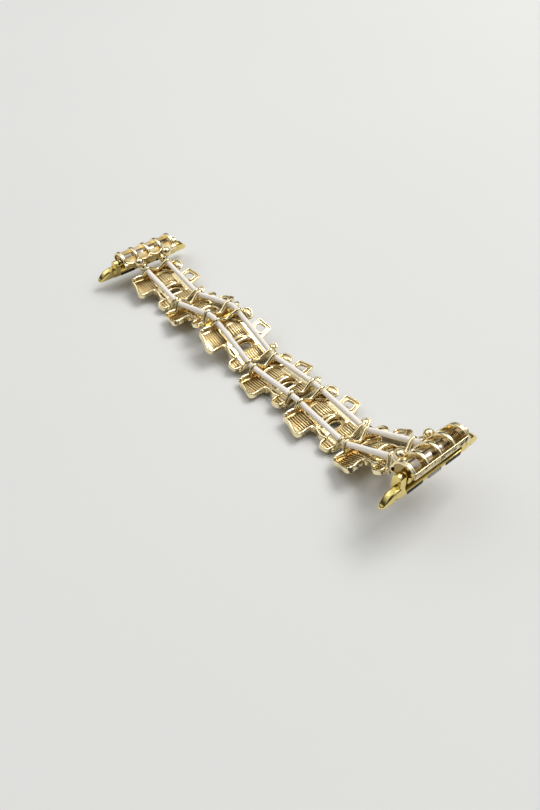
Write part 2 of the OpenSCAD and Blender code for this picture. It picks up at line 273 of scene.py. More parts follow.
class Shells:
    """Closed shells in millimetres, gathered into one mesh."""

    def __init__(self) -> None:
        """Starts with no shell."""
        self.points: list[tuple[float, float, float]] = []
        self.faces: list[list[int]] = []

    def add(self, points: Iterable[Point], faces: Iterable[Sequence[int]]) -> None:
        """Adds a shell of its own points and faces.

        Args:
            points: Its points, in mm.
            faces: Its faces, each a list of indices into those points.
        """
        first = len(self.points)
        self.points += [tuple(float(c) for c in p) for p in points]
        self.faces += [[first + i for i in f] for f in faces]

    def rings(self, rings: Sequence[np.ndarray], closed: bool = False) -> None:
        """Joins rings of equal count into a skin, capped unless closed.

        Args:
            rings: The rings in order, one point a row, in mm.
            closed: Whether the last ring joins the first.
        """
        n = len(rings[0])
        points = np.vstack(rings)
        faces = []
        last = len(rings) if closed else len(rings) - 1
        for k in range(last):
            a, b = k * n, ((k + 1) % len(rings)) * n
            faces += [[a + i, a + (i + 1) % n, b + (i + 1) % n, b + i] for i in range(n)]
        if not closed:
            faces.append(list(range(n))[::-1])
            faces.append([(len(rings) - 1) * n + i for i in range(n)])
        self.add(points, faces)

    def prism(self, outline: np.ndarray, low: float, high: float) -> None:
        """An outline in X and Y, drawn from low to high."""
        o = np.array(outline, float)
        self.rings([np.c_[o, np.full(len(o), z)] for z in (low, high)])

    def slab(self, outline: np.ndarray, start: float, end: float) -> None:
        """An outline in Y and Z, drawn along X from start to end."""
        o = np.array(outline, float)
        self.rings([np.c_[np.full(len(o), x), o] for x in (start, end)])

    def plank(self, outline: np.ndarray, start: float, end: float) -> None:
        """An outline in X and Z, drawn along Y from start to end."""
        o = np.array(outline, float)
        self.rings([np.c_[o[:, 0], np.full(len(o), y), o[:, 1]] for y in (start, end)])

    def block(self, low: Point, high: Point) -> None:
        """A box between two corners."""
        (a, b, c), (d, e, f) = low, high
        self.prism(np.array([[a, b], [d, b], [d, e], [a, e]]), c, f)

    def tube(self, path: Iterable[Point], radius: float | Sequence[float],
             sides: int = 12, closed: bool = False) -> None:
        """A round bar along a path, its ends drawn in to a dome.

        Args:
            path: Points of its middle line, in mm.
            radius: One radius, or one for each point.
            sides: Number of its sides.
            closed: Whether the path is a loop.
        """
        p = np.array(list(path), float)
        r = np.full(len(p), radius) if np.isscalar(radius) else np.array(radius, float)
        if closed:
            tangent = np.roll(p, -1, 0) - np.roll(p, 1, 0)
        else:
            tangent = np.gradient(p, axis=0)
        tangent /= np.linalg.norm(tangent, axis=1)[:, None]
        side = np.cross(tangent[0], (0.0, 0.0, 1.0))
        if np.linalg.norm(side) < 0.1:
            side = np.cross(tangent[0], (0.0, 1.0, 0.0))
        rings = []
        turn = round_steps(0, 360, sides + 1)[:-1]
        for q, t, width in zip(p, tangent, r):
            side = side - t * side.dot(t)
            side /= np.linalg.norm(side)
            other = np.cross(t, side)
            ring = q + width * (np.outer(np.cos(turn), side) + np.outer(np.sin(turn), other))
            rings.append(ring)
        if not closed:
            for at, inward in ((0, -1), (-1, 1)):
                centre, edge = p[at], rings[at]
                dome = [centre + (edge - centre) * math.cos(a)
                        + inward * tangent[at] * r[at] * math.sin(a)
                        for a in round_steps(25, 80, 3)]
                rings = dome[::-1] + rings if at == 0 else rings + dome
        self.rings(rings, closed)

    def wall(self, path: np.ndarray, half: float, low: float,
             top: float | np.ndarray, closed: bool = False) -> None:
        """A wall with a rounded top along a path in X and Y.

        Args:
            path: Points of its middle line.
            half: Half of its thickness.
            low: Height of its foot.
            top: Height of its top edge, or one for each point.
            closed: Whether the path is a loop.
        """
        p = np.array(path, float)[:, :2]
        top = np.full(len(p), top) if np.isscalar(top) else top
        if closed:
            t = np.roll(p, -1, 0) - np.roll(p, 1, 0)
        else:
            t = np.gradient(p, axis=0)
        n = np.c_[-t[:, 1], t[:, 0]] / np.linalg.norm(t, axis=1)[:, None]
        rings = []
        arc = round_steps(0, 180, 7)
        for q, m, z in zip(p, n, top):
            across = [half] + list(half * np.cos(arc)) + [-half]
            height = [low] + list(z - half + half * np.sin(arc)) + [low]
            rings.append(np.array([[*(q + m * a), h] for a, h in zip(across, height)]))
        self.rings(rings, closed)

    def sweep(self, profile: Iterable[Point], start: float, end: float, steps: int) -> None:
        """A profile of radius and Y turned about the Y axis from one angle to another.

        Args:
            profile: Radius and Y of each point.
            start: First angle from X towards Z, in degrees.
            end: Last angle.
            steps: Number of steps.
        """
        rings = [np.array([[r * math.cos(a), y, r * math.sin(a)] for r, y in profile])
                 for a in round_steps(start, end, steps + 1)]
        self.rings(rings)

    def relief(self, x: np.ndarray, y: np.ndarray, height: np.ndarray, low: float,
               inside: np.ndarray) -> None:
        """A plate with a modelled upper side over a grid.

        Args:
            x: Grid lines across X.
            y: Grid lines across Y.
            height: Height of the upper side at each crossing.
            low: Height of the flat lower side.
            inside: Which cells of the grid belong to the plate.
        """
        rows, columns = height.shape
        number = np.arange(rows * columns).reshape(rows, columns)
        deep = number + rows * columns
        gx, gy = np.meshgrid(x, y, indexing="ij")
        top = np.c_[gx.ravel(), gy.ravel(), height.ravel()]
        under = np.c_[gx.ravel(), gy.ravel(), np.full(rows * columns, low)]
        i, j = np.nonzero(inside)
        cell = [number[i, j], number[i + 1, j], number[i + 1, j + 1], number[i, j + 1]]
        faces = [np.stack(cell, 1), np.stack([c + rows * columns for c in cell[::-1]], 1)]
        padded = np.pad(inside, 1)
        for di, dj, a, b in ((-1, 0, (0, 1), (0, 0)), (1, 0, (1, 0), (1, 1)),
                             (0, -1, (0, 0), (1, 0)), (0, 1, (1, 1), (0, 1))):
            edge = inside & ~padded[1 + di:rows + di, 1 + dj:columns + dj]
            i, j = np.nonzero(edge)
            p, q = (i + a[0], j + a[1]), (i + b[0], j + b[1])
            faces.append(np.stack([number[q], number[p], deep[p], deep[q]], 1))
        quads = np.vstack(faces)
        used, packed = np.unique(quads, return_inverse=True)
        self.add(np.vstack([top, under])[used], packed.reshape(-1, 4).tolist())

    def ball(self, centre: Point, radii: Point, steps: int = 16) -> None:
        """An ellipsoid.

        Args:
            centre: Its middle, in mm.
            radii: Its radii along X, Y and Z.
            steps: Number of its rings.
        """
        c, r = np.array(centre, float), np.array(radii, float)
        turn = round_steps(0, 360, 2 * steps + 1)[:-1]
        rings = []
        for a in round_steps(-88, 88, steps):
            unit = np.c_[np.cos(turn) * math.cos(a), np.sin(turn) * math.cos(a),
                         np.full(len(turn), math.sin(a))]
            rings.append(c + unit * r)
        self.rings(rings)

    def lathe(self, profile: Iterable[Point], sides: int = 64, closed: bool = False) -> None:
        """A profile of radius and Y turned about the Y axis.

        Args:
            profile: Radius and Y of each point.
            sides: Number of steps round the axis.
            closed: Whether the profile is a loop, so that no caps are needed.
        """
        turn = round_steps(0, 360, sides + 1)[:-1]
        rings = [np.c_[r * np.cos(turn), np.full(sides, y), r * np.sin(turn)]
                 for r, y in profile]
        self.rings(rings, closed)

    def moved(self, x: float = 0.0, y: float = 0.0, z: float = 0.0) -> Shells:
        """The same shells, shifted."""
        self.points = [(a + x, b + y, c + z) for a, b, c in self.points]
        return self

    def mirrored(self) -> Shells:
        """These shells and their mirror image across Y.

        Returns:
            The same object, for a further call.
        """
        points = [(a, -b, c) for a, b, c in self.points]
        faces = [f[::-1] for f in self.faces]
        self.add(points, faces)
        return self

    def mesh(self, name: str, smooth_angle: float | None = 40.0) -> bpy.types.Mesh:
        """The mesh of all shells, faces outwards.

        Args:
            name: The mesh's name.
            smooth_angle: Edges sharper than this many degrees stay sharp; None shades flat.

        Returns:
            The mesh, in mm.
        """
        made = bpy.data.meshes.new(name)
        made.from_pydata(self.points, [], self.faces)
        face_outwards(made)
        if smooth_angle is not None:
            made.shade_smooth()
            made.set_sharp_from_angle(angle=math.radians(smooth_angle))
        return made


def face_outwards(mesh: bpy.types.Mesh) -> None:
    """Turns the faces of closed shells outwards.

    Args:
        mesh: The mesh, which is changed.
    """
    work = bmesh.new()
    work.from_mesh(mesh)
    bmesh.ops.recalc_face_normals(work, faces=work.faces)
    work.to_mesh(mesh)
    work.free()


def evaluated_mesh(obj: bpy.types.Object, name: str) -> bpy.types.Mesh:
    """The mesh that an object's modifiers make; the object is removed.

    Args:
        obj: A short-lived object with modifiers.
        name: The mesh's name.

    Returns:
        A plain mesh.
    """
    graph = bpy.context.evaluated_depsgraph_get()
    made = bpy.data.meshes.new_from_object(obj.evaluated_get(graph), depsgraph=graph)
    made.name = name
    bpy.data.objects.remove(obj)
    return made


def scratch_object(mesh: bpy.types.Mesh) -> bpy.types.Object:
    """A short-lived object round a mesh.

    Args:
        mesh: The mesh that it shows.

    Returns:
        The object, linked to the scene.
    """
    obj = bpy.data.objects.new("scratch", mesh)
    bpy.context.scene.collection.objects.link(obj)
    return obj


def fuse(shells: Shells, name: str, soften: int) -> bpy.types.Mesh:
    """Fuses overlapping shells into one casting with softened edges.

    Args:
        shells: The closed shells, in mm.
        name: The mesh's name.
        soften: Rounds of smoothing.

    Returns:
        The fused mesh, in mm.
    """
    obj = scratch_object(shells.mesh(name, None))
    remesh = obj.modifiers.new("fuse", "REMESH")
    remesh.mode = "VOXEL"
    remesh.voxel_size = VOXEL
    soft = obj.modifiers.new("soften", "SMOOTH")
    soft.factor = 0.5
    soft.iterations = soften
    thin = obj.modifiers.new("thin", "DECIMATE")
    thin.ratio = KEPT
    made = evaluated_mesh(obj, name)
    made.shade_smooth()
    return made


def carve(mesh: bpy.types.Mesh, cutters: Shells) -> bpy.types.Mesh:
    """A closed mesh with the cutters' room taken out of it.

    Args:
        mesh: A closed mesh, in mm.
        cutters: Closed shells, which may overlap.

    Returns:
        The mesh that is left.
    """
    obj, tool = scratch_object(mesh), scratch_object(cutters.mesh("cutters", None))
    cut = obj.modifiers.new("carve", "BOOLEAN")
    cut.operation = "DIFFERENCE"
    cut.solver = "EXACT"
    cut.use_self = True
    cut.object = tool
    made = evaluated_mesh(obj, mesh.name)
    bpy.data.objects.remove(tool)
    return made


def within(x: np.ndarray, y: np.ndarray, outline: np.ndarray) -> np.ndarray:
    """Which points lie inside a closed outline in X and Y.

    Args:
        x: X of the points.
        y: Y of the points.
        outline: Corners of the outline, one row each.

    Returns:
        True for each point inside.
    """
    found = np.zeros(x.shape, bool)
    for (ax, ay), (bx, by) in zip(outline, np.roll(outline, -1, 0)):
        crosses = (ay > y) != (by > y)
        reach = ax + (y - ay) * (bx - ax) / (by - ay if by != ay else 1e-9)
        found ^= crosses & (x < reach)
    return found


def eased(distance: np.ndarray, width: float) -> np.ndarray:
    """A soft step from 0 to 1 as distance goes from 0 to width."""
    t = np.clip(distance / width, 0, 1)
    return t * t * (3 - 2 * t)


def join(name: str, *meshes: bpy.types.Mesh) -> bpy.types.Mesh:
    """One mesh of several, each with its own smoothing kept.

    Args:
        name: The mesh's name.
        meshes: The meshes, in the order in which their points follow each other.

    Returns:
        The joined mesh.
    """
    points, faces, smooth, sharp, first = [], [], [], [], 0
    for mesh in meshes:
        co = np.zeros(len(mesh.vertices) * 3, np.float32)
        mesh.vertices.foreach_get("co", co)
        points.append(co.reshape(-1, 3))
        faces += [[v + first for v in f.vertices] for f in mesh.polygons]
        smooth += [f.use_smooth for f in mesh.polygons]
        sharp += [tuple(sorted(v + first for v in e.vertices)) for e in mesh.edges
                  if e.use_edge_sharp]
        first += len(mesh.vertices)
    made = bpy.data.meshes.new(name)
    made.from_pydata(np.vstack(points).tolist(), [], faces)
    made.polygons.foreach_set("use_smooth", smooth)
    keep = set(sharp)
    for edge in made.edges:
        edge.use_edge_sharp = tuple(sorted(edge.vertices)) in keep
    return made


def mark_hollow_shade(mesh: bpy.types.Mesh, reach: float = 1.6) -> None:
    """Stores in the attribute "hollow" how much of the open air over each point is shut in; the
    metal's painted shade follows this value.

    Args:
        mesh: A mesh in mm.
        reach: How far a neighbouring face still counts, in mm.
    """
    tree = BVHTree.FromPolygons([v.co for v in mesh.vertices],
                                [tuple(f.vertices) for f in mesh.polygons])
    rays, count, golden_angle, lift, grazing = [], 26, 2.39996, 0.03, 0.25
    for k in range(count):
        z = 1 - (2 * k + 1) / count
        turn, r = golden_angle * k, math.sqrt(1 - z * z)
        rays.append(Vector((r * math.cos(turn), r * math.sin(turn), z)))
    values = np.zeros(len(mesh.vertices), np.float32)
    for index, vertex in enumerate(mesh.vertices):
        normal = vertex.normal
        origin = vertex.co + normal * lift
        tried = struck = 0
        for ray in rays:
            if ray.dot(normal) > grazing:
                tried += 1
                struck += tree.ray_cast(origin, ray, reach)[0] is not None
        values[index] = struck / max(tried, 1)
    mesh.attributes.new(HOLLOW_SHADE, "FLOAT", "POINT").data.foreach_set("value", values)


def show(mesh: bpy.types.Mesh, name: str, place: Placement | None,
         material: bpy.types.Material) -> bpy.types.Object:
    """An object at the origin with a copy of a mesh put in place and dressed.

    Args:
        mesh: The mesh, in mm if it has a place.
        name: The piece's name.
        place: Where it goes, or None if it is there already.
        material: Its only material.

    Returns:
        The object, at the origin and linked to the scene.
    """
    own = mesh.copy()
    own.name = name
    if place is not None:
        own.transform(place.matrix())
    own.materials.clear()
    own.materials.append(material)
    obj = bpy.data.objects.new(name, own)
    bpy.context.scene.collection.objects.link(obj)
    return obj


def mount(piece: bpy.types.Object, body: str, node: str) -> None:
    """Lets a piece ride on a body, in place of a CAD node.

    Args:
        piece: The dressed piece.
        body: The body that carries it.
        node: The CAD node that it replaces.
    """
    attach(piece, body)
    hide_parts(node)


# Finishes


class Nodes:
    """Builds a node tree with short calls."""

    def __init__(self, tree: bpy.types.NodeTree) -> None:
        """Works on an existing tree."""
        self.tree = tree

    def new(self, kind: str, **values: object) -> bpy.types.Node:
        """A node of a type; values name its properties or, with spaces as _, its inputs.

        Args:
            kind: The node's type.
            values: Values of its properties and inputs.

        Returns:
            The node.
        """
        node = self.tree.nodes.new(kind)
        for key, value in values.items():
            if hasattr(node, key):
                setattr(node, key, value)
            else:
                node.inputs[key.replace("_", " ")].default_value = value
        return node

    def wire(self, source: bpy.types.NodeSocket, target: bpy.types.NodeSocket) -> None:
        """Links two sockets."""
        self.tree.links.new(source, target)

    def math(self, operation: str, a: object, b: object) -> bpy.types.NodeSocket:
        """A Math node of two numbers or sockets.

        Args:
            operation: The node's operation.
            a: First number or socket.
            b: Second number or socket.

        Returns:
            The socket of its result.
        """
        node = self.new("ShaderNodeMath", operation=operation)
        for socket, value in zip(node.inputs, (a, b)):
            if isinstance(value, bpy.types.NodeSocket):
                self.wire(value, socket)
            else:
                socket.default_value = value
        return node.outputs[0]

    def ramp(self, factor: bpy.types.NodeSocket, low: float, high: float,
             start: Sequence[float], end: Sequence[float]) -> bpy.types.NodeSocket:
        """A colour that goes from start to end as factor goes from low to high.

        Args:
            factor: The socket that is mapped.
            low: Factor at the start colour.
            high: Factor at the end colour.
            start: The start colour.
            end: The end colour.

        Returns:
            The socket of the colour.
        """
        node = self.new("ShaderNodeValToRGB")
        node.color_ramp.elements[0].position = low
        node.color_ramp.elements[1].position = high
        node.color_ramp.elements[0].color = (*start[:3], 1)
        node.color_ramp.elements[1].color = (*end[:3], 1)
        self.wire(factor, node.inputs["Fac"])
        return node.outputs["Color"]


def blank_material(name: str) -> tuple[bpy.types.Material, Nodes, bpy.types.Node]:
    """A material with only its Principled BSDF, its tree and that node.

    Args:
        name: The material's name.

    Returns:
        The material, its tree and its Principled BSDF.
    """
    material = bpy.data.materials.new(name)
    material.use_nodes = True
    tree = material.node_tree
    shader = next(n for n in tree.nodes if n.type == "BSDF_PRINCIPLED")
    return material, Nodes(tree), shader


def plating_group() -> bpy.types.NodeTree:
    """The shared effect of plated metal: painted shade in hollows and grooves, with open faces left
    bright, a cloudy tint and cloudy gloss.

    Returns:
        A node group that puts out colour, roughness and height.
    """
    group = bpy.data.node_groups.new("plating", "ShaderNodeTree")
    face = group.interface
    for name, kind in (("Bright", "NodeSocketColor"), ("Deep", "NodeSocketColor"),
                       ("Gloss", "NodeSocketFloat"), ("Cloud Size", "NodeSocketFloat"),
                       ("Waviness", "NodeSocketFloat")):
        face.new_socket(name, in_out="INPUT", socket_type=kind)
    for name, kind in (("Color", "NodeSocketColor"), ("Roughness", "NodeSocketFloat"),
                       ("Height", "NodeSocketFloat")):
        face.new_socket(name, in_out="OUTPUT", socket_type=kind)
    n = Nodes(group)
    given, result = n.new("NodeGroupInput"), n.new("NodeGroupOutput")
    place = n.new("ShaderNodeTexCoord")
    hollow = n.new("ShaderNodeAttribute", attribute_name=HOLLOW_SHADE)
    cloud = n.new("ShaderNodeTexNoise", Detail=4.0, Roughness=0.6)
    fine = n.new("ShaderNodeTexNoise", Scale=5200.0, Detail=3.0)
    wave = n.new("ShaderNodeTexNoise", Scale=900.0, Detail=2.0)
    for texture in (cloud, fine, wave):
        n.wire(place.outputs["Object"], texture.inputs["Vector"])
    n.wire(given.outputs["Cloud Size"], cloud.inputs["Scale"])
    # Painted shade: the colour goes from Bright to Deep as a point is more shut in, mixed with a
    # random cloudy tint
    hollow_shade_share, cloud_middle, cloud_share, grain_share, dull_share = 1.35, 0.45, 0.7, 0.08, 0.10
    # Near-black painted shade for grooves, dishes and windows
    groove_shade_colour = (0.09, 0.06, 0.02, 1)
    deep = n.math("ADD", n.math("MULTIPLY", hollow.outputs["Fac"], hollow_shade_share),
                  n.math("MULTIPLY", n.math("SUBTRACT", cloud.outputs["Fac"], cloud_middle),
                         cloud_share))
    clamp = n.new("ShaderNodeClamp")
    n.wire(deep, clamp.inputs["Value"])
    mix = n.new("ShaderNodeMix", data_type="RGBA")
    n.wire(clamp.outputs["Result"], mix.inputs["Factor"])
    n.wire(given.outputs["Bright"], mix.inputs[6])
    n.wire(given.outputs["Deep"], mix.inputs[7])
    # Painted shade: where the shade value exceeds 1 the colour goes on towards near-black
    groove = n.new("ShaderNodeClamp")
    n.wire(n.math("SUBTRACT", hollow.outputs["Fac"], 1.0), groove.inputs["Value"])
    dark = n.new("ShaderNodeMix", data_type="RGBA")
    n.wire(groove.outputs["Result"], dark.inputs["Factor"])
    n.wire(mix.outputs[2], dark.inputs[6])
    dark.inputs[7].default_value = groove_shade_colour
    n.wire(dark.outputs[2], result.inputs["Color"])
    grain = n.math("MULTIPLY", fine.outputs["Fac"], grain_share)
    rough = n.math("ADD", given.outputs["Gloss"], grain)
    rough = n.math("ADD", rough, n.math("MULTIPLY", clamp.outputs["Result"], dull_share))
    n.wire(rough, result.inputs["Roughness"])
    height = n.math("MULTIPLY", wave.outputs["Fac"], given.outputs["Waviness"])
    n.wire(n.math("ADD", height, grain), result.inputs["Height"])
    return group


@dataclass(frozen=True)
class PlatedMetal:
    """A polished, plated casting.

    Args:
        name: The material's name.
        bright: Colour of open faces.
        deep: Colour of the painted shade in hollows, also reached in the darker patches of the
            cloudy tint.
        gloss: Least roughness.
        cloud: Scale of the cloudy tint.
        waviness: Height of the casting's soft waves.
        depth: Bump distance, in mm.
    """

    name: str
    bright: Sequence[float]
    deep: Sequence[float]
    gloss: float = 0.12
    cloud: float = 260.0
    waviness: float = 1.0
    depth: float = 0.07

    def material(self, plating: bpy.types.NodeTree) -> bpy.types.Material:
        """The material, with the shared plating group inside.

        Args:
            plating: The shared group.

        Returns:
            The material.
        """
        material, n, shader = blank_material(self.name)
        group = n.new("ShaderNodeGroup")
        group.node_tree = plating
        group.inputs["Bright"].default_value = (*self.bright, 1)
        group.inputs["Deep"].default_value = (*self.deep, 1)
        group.inputs["Gloss"].default_value = self.gloss
        group.inputs["Cloud Size"].default_value = self.cloud
        group.inputs["Waviness"].default_value = self.waviness
        bump = n.new("ShaderNodeBump", Strength=1.0, Distance=self.depth * MM)
        n.wire(group.outputs["Height"], bump.inputs["Height"])
        n.wire(bump.outputs["Normal"], shader.inputs["Normal"])
        n.wire(group.outputs["Color"], shader.inputs["Base Color"])
        n.wire(group.outputs["Roughness"], shader.inputs["Roughness"])
        shader.inputs["Metallic"].default_value = 1.0
        return material


@dataclass(frozen=True)
class CordFinish:
    """White elastic cord with a fine covering.

    Args:
        name: The material's name.
        light: Colour of raised threads.
        shade: Colour between the threads.
        painted_glow: Strength of the painted light by which the cord shines a little of itself, as
            if it scattered light within.
        threads: Number of threads round the cord each way.
        pitch: How fast they turn along the cord, in radians a millimetre.
    """

    name: str = "white_cord"
    light: Sequence[float] = (0.95, 0.90, 0.83)
    shade: Sequence[float] = (0.82, 0.76, 0.68)
    painted_glow: float = 0.11
    threads: float = 6.0
    pitch: float = 22.0

    def material(self) -> bpy.types.Material:
        """The cord's material; its fine thread turns round the cord.

        Returns:
            The material.
        """
        material, n, shader = blank_material(self.name)
        lay = n.new("ShaderNodeUVMap", uv_map="lay")
        split = n.new("ShaderNodeSeparateXYZ")
        n.wire(lay.outputs["UV"], split.inputs["Vector"])
        turn = n.math("MULTIPLY", split.outputs["X"], math.tau)
        turn = n.math("MULTIPLY", turn, self.threads)
        along = n.math("MULTIPLY", split.outputs["Y"], self.pitch)
        left = n.math("SINE", n.math("ADD", turn, along), 0.0)
        right = n.math("SINE", n.math("SUBTRACT", turn, along), 0.0)
        weave = n.math("MULTIPLY", n.math("ADD", left, right), 0.25)
        weave = n.math("ADD", weave, 0.5)
        colour = n.ramp(weave, 0.2, 0.8, self.shade, self.light)
        n.wire(colour, shader.inputs["Base Color"])
        bump = n.new("ShaderNodeBump", Strength=0.5, Distance=0.03 * MM)
        n.wire(weave, bump.inputs["Height"])
        n.wire(bump.outputs["Normal"], shader.inputs["Normal"])
        shader.inputs["Roughness"].default_value = 0.6
        # Painted light: the cord shines faintly in its light colour by emission, though it is no
        # lamp
        shader.inputs["Emission Color"].default_value = (*self.light, 1)
        shader.inputs["Emission Strength"].default_value = self.painted_glow
        return material


@dataclass(frozen=True)
class RubberFinish:
    """Matt black rubber with a fine grain.

    Args:
        name: The material's name.
        colour: Its darkest colour.
        dust: How much paler the grain gets.
    """

    name: str = "black_rubber"
    colour: Sequence[float] = (0.012, 0.012, 0.013)
    dust: float = 3.0

    def material(self) -> bpy.types.Material:
        """The pads' material.

        Returns:
            The material.
        """
        material, n, shader = blank_material(self.name)
        place = n.new("ShaderNodeTexCoord")
        grain = n.new("ShaderNodeTexNoise", Scale=7000.0, Detail=3.0)
        n.wire(place.outputs["Object"], grain.inputs["Vector"])
        dusty = [min(1.0, c * self.dust) for c in self.colour]
        n.wire(n.ramp(grain.outputs["Fac"], 0.4, 0.75, self.colour, dusty),
               shader.inputs["Base Color"])
        bump = n.new("ShaderNodeBump", Strength=0.4, Distance=0.02 * MM)
        n.wire(grain.outputs["Fac"], bump.inputs["Height"])
        n.wire(bump.outputs["Normal"], shader.inputs["Normal"])
        shader.inputs["Roughness"].default_value = 0.62
        return material


@dataclass(frozen=True)
class FloorFinish:
    """Pale matt tabletop.

    Args:
        name: The material's name.
        colour: Its palest colour.
        uneven: How dark the faint clouds are, as a share of that colour.
    """

    name: str = "pale_tabletop"
    colour: Sequence[float] = (0.775, 0.775, 0.760)
    uneven: float = 0.985

    def material(self) -> bpy.types.Material:
        """The floor's material, with a very faint unevenness.

        Returns:
            The material.
        """
        material, n, shader = blank_material(self.name)
        place = n.new("ShaderNodeTexCoord")
        cloud = n.new("ShaderNodeTexNoise", Scale=9.0, Detail=3.0)
        n.wire(place.outputs["Object"], cloud.inputs["Vector"])
        darker = [c * self.uneven for c in self.colour]
        n.wire(n.ramp(cloud.outputs["Fac"], 0.3, 0.7, darker, self.colour),
               shader.inputs["Base Color"])
        shader.inputs["Roughness"].default_value = 0.75
        shader.inputs["Specular IOR Level"].default_value = 0.15
        return material


@dataclass
class Finishes:
    """All finishes of the strap, built once."""

    casting: bpy.types.Material
    lug: bpy.types.Material
    tube: bpy.types.Material
    steel: bpy.types.Material
    cord: bpy.types.Material
    rubber: bpy.types.Material
    floor: bpy.types.Material

    @classmethod
    def build(cls) -> Finishes:
        """Builds the plating group and every material.

        Returns:
            The finishes.
        """
        plating = plating_group()
        return cls(
            # Each plated finish's second colour is its painted shade in hollows, which the plating
            # group mixes in
            casting=PlatedMetal("pale_gold_casting", (0.97, 0.85, 0.54), (0.62, 0.45, 0.19),
                                gloss=0.11).material(plating),
            lug=PlatedMetal("yellow_gold_lug", (0.88, 0.72, 0.27), (0.40, 0.29, 0.06),
                            gloss=0.08, waviness=0.4).material(plating),
            # The tube's own brownish tone, set darker than the gold to paint in the shade that
            # falls inside the hoops: partly its colour, partly painted shade
            tube=PlatedMetal("polished_tube", (0.43, 0.36, 0.28), (0.25, 0.20, 0.14),
                             gloss=0.16, waviness=0.8).material(plating),
            steel=PlatedMetal("plain_steel", (0.42, 0.42, 0.43), (0.28, 0.28, 0.29),
                              gloss=0.30, waviness=0.5).material(plating),
            cord=CordFinish().material(),
            rubber=RubberFinish().material(),
            floor=FloorFinish().material(),
        )


# Rows made by Geometry Nodes


@dataclass(frozen=True)
class Row:
    """A row of copies of one piece, laid over a flat or crowned bed.

    Args:
        count: Number of copies.
        start: Place of the first copy, in mm.
        step: Step from one copy to the next, in mm.
        crown: How much higher the middle of the row lies, in mm.
    """

    count: int
    start: Point
    step: Point
    crown: float = 0.0

    @staticmethod
    def tree() -> bpy.types.NodeTree:
        """The node tree that lays a row.

        Returns:
            The tree, built at the first call.
        """
        found = bpy.data.node_groups.get("row_of_copies")
        if found is not None:
            return found
        tree = bpy.data.node_groups.new("row_of_copies", "GeometryNodeTree")
        tree.is_modifier = True
        face = tree.interface
        face.new_socket("Geometry", in_out="INPUT", socket_type="NodeSocketGeometry")
        for name, kind in (("Count", "NodeSocketInt"), ("Start", "NodeSocketVector"),
                           ("Step", "NodeSocketVector"), ("Crown", "NodeSocketFloat"),
                           ("Material", "NodeSocketMaterial")):
            face.new_socket(name, in_out="INPUT", socket_type=kind)
        face.new_socket("Geometry", in_out="OUTPUT", socket_type="NodeSocketGeometry")
        n = Nodes(tree)
        given, result = n.new("NodeGroupInput"), n.new("NodeGroupOutput")
        line = n.new("GeometryNodeMeshLine", mode="OFFSET")
        n.wire(given.outputs["Count"], line.inputs["Count"])
        n.wire(given.outputs["Start"], line.inputs["Start Location"])
        n.wire(given.outputs["Step"], line.inputs["Offset"])
        index = n.new("GeometryNodeInputIndex")
        last = n.math("SUBTRACT", given.outputs["Count"], 1.0)
        share = n.math("DIVIDE", index.outputs[0], last)
        side = n.math("SUBTRACT", n.math("MULTIPLY", share, 2.0), 1.0)
        lift = n.math("MULTIPLY", n.math("SUBTRACT", 1.0, n.math("MULTIPLY", side, side)),
                      given.outputs["Crown"])
        offset = n.new("ShaderNodeCombineXYZ")
        n.wire(lift, offset.inputs["Z"])
        raised = n.new("GeometryNodeSetPosition")
        n.wire(line.outputs["Mesh"], raised.inputs["Geometry"])
        n.wire(offset.outputs["Vector"], raised.inputs["Offset"])
        copies = n.new("GeometryNodeInstanceOnPoints")
        n.wire(raised.outputs["Geometry"], copies.inputs["Points"])
        n.wire(given.outputs["Geometry"], copies.inputs["Instance"])
        real = n.new("GeometryNodeRealizeInstances")
        n.wire(copies.outputs["Instances"], real.inputs["Geometry"])
        dressed = n.new("GeometryNodeSetMaterial")
        n.wire(real.outputs["Geometry"], dressed.inputs["Geometry"])
        n.wire(given.outputs["Material"], dressed.inputs["Material"])
        n.wire(dressed.outputs["Geometry"], result.inputs["Geometry"])
        return tree

    def mesh(self, piece: bpy.types.Mesh, material: bpy.types.Material) -> bpy.types.Mesh:
        """The row as one plain mesh of copies of a piece at the origin.

        Args:
            piece: The piece that is copied, in mm.
            material: The material of all copies.

        Returns:
            The row, with its copies made real.
        """
        obj = scratch_object(piece)
        row = obj.modifiers.new("row", "NODES")
        row.node_group = self.tree()
        values = {"Count": self.count, "Start": tuple(self.start), "Step": tuple(self.step),
                  "Crown": self.crown, "Material": material}
        for item in row.node_group.interface.items_tree:
            if item.in_out == "INPUT" and item.name in values:
                row[item.identifier] = values[item.name]
        obj.update_tag()
        bpy.context.view_layer.update()
        return evaluated_mesh(obj, piece.name + "_row")


def rib(length: float, width: float, height: float) -> bpy.types.Mesh:
    """A small rounded rib that runs along X from the origin.

    Args:
        length: Its length along X, in mm.
        width: Its width, in mm.
        height: Its height, in mm.

    Returns:
        The mesh of one rib.
    """
    shells = Shells()
    outline = [[width / 2 * math.cos(a), height * math.sin(a)] for a in round_steps(-30, 210, 7)]
    inset = min(0.15, length / 6)
    rings = []
    for x, share in ((0.0, 0.55), (inset, 1.0), (length - inset, 1.0), (length, 0.55)):
        rings.append(np.array([[x, y * share, z * share] for y, z in outline]))
    shells.rings(rings)
    return shells.mesh("rib", 60.0)


# Sub-assemblies


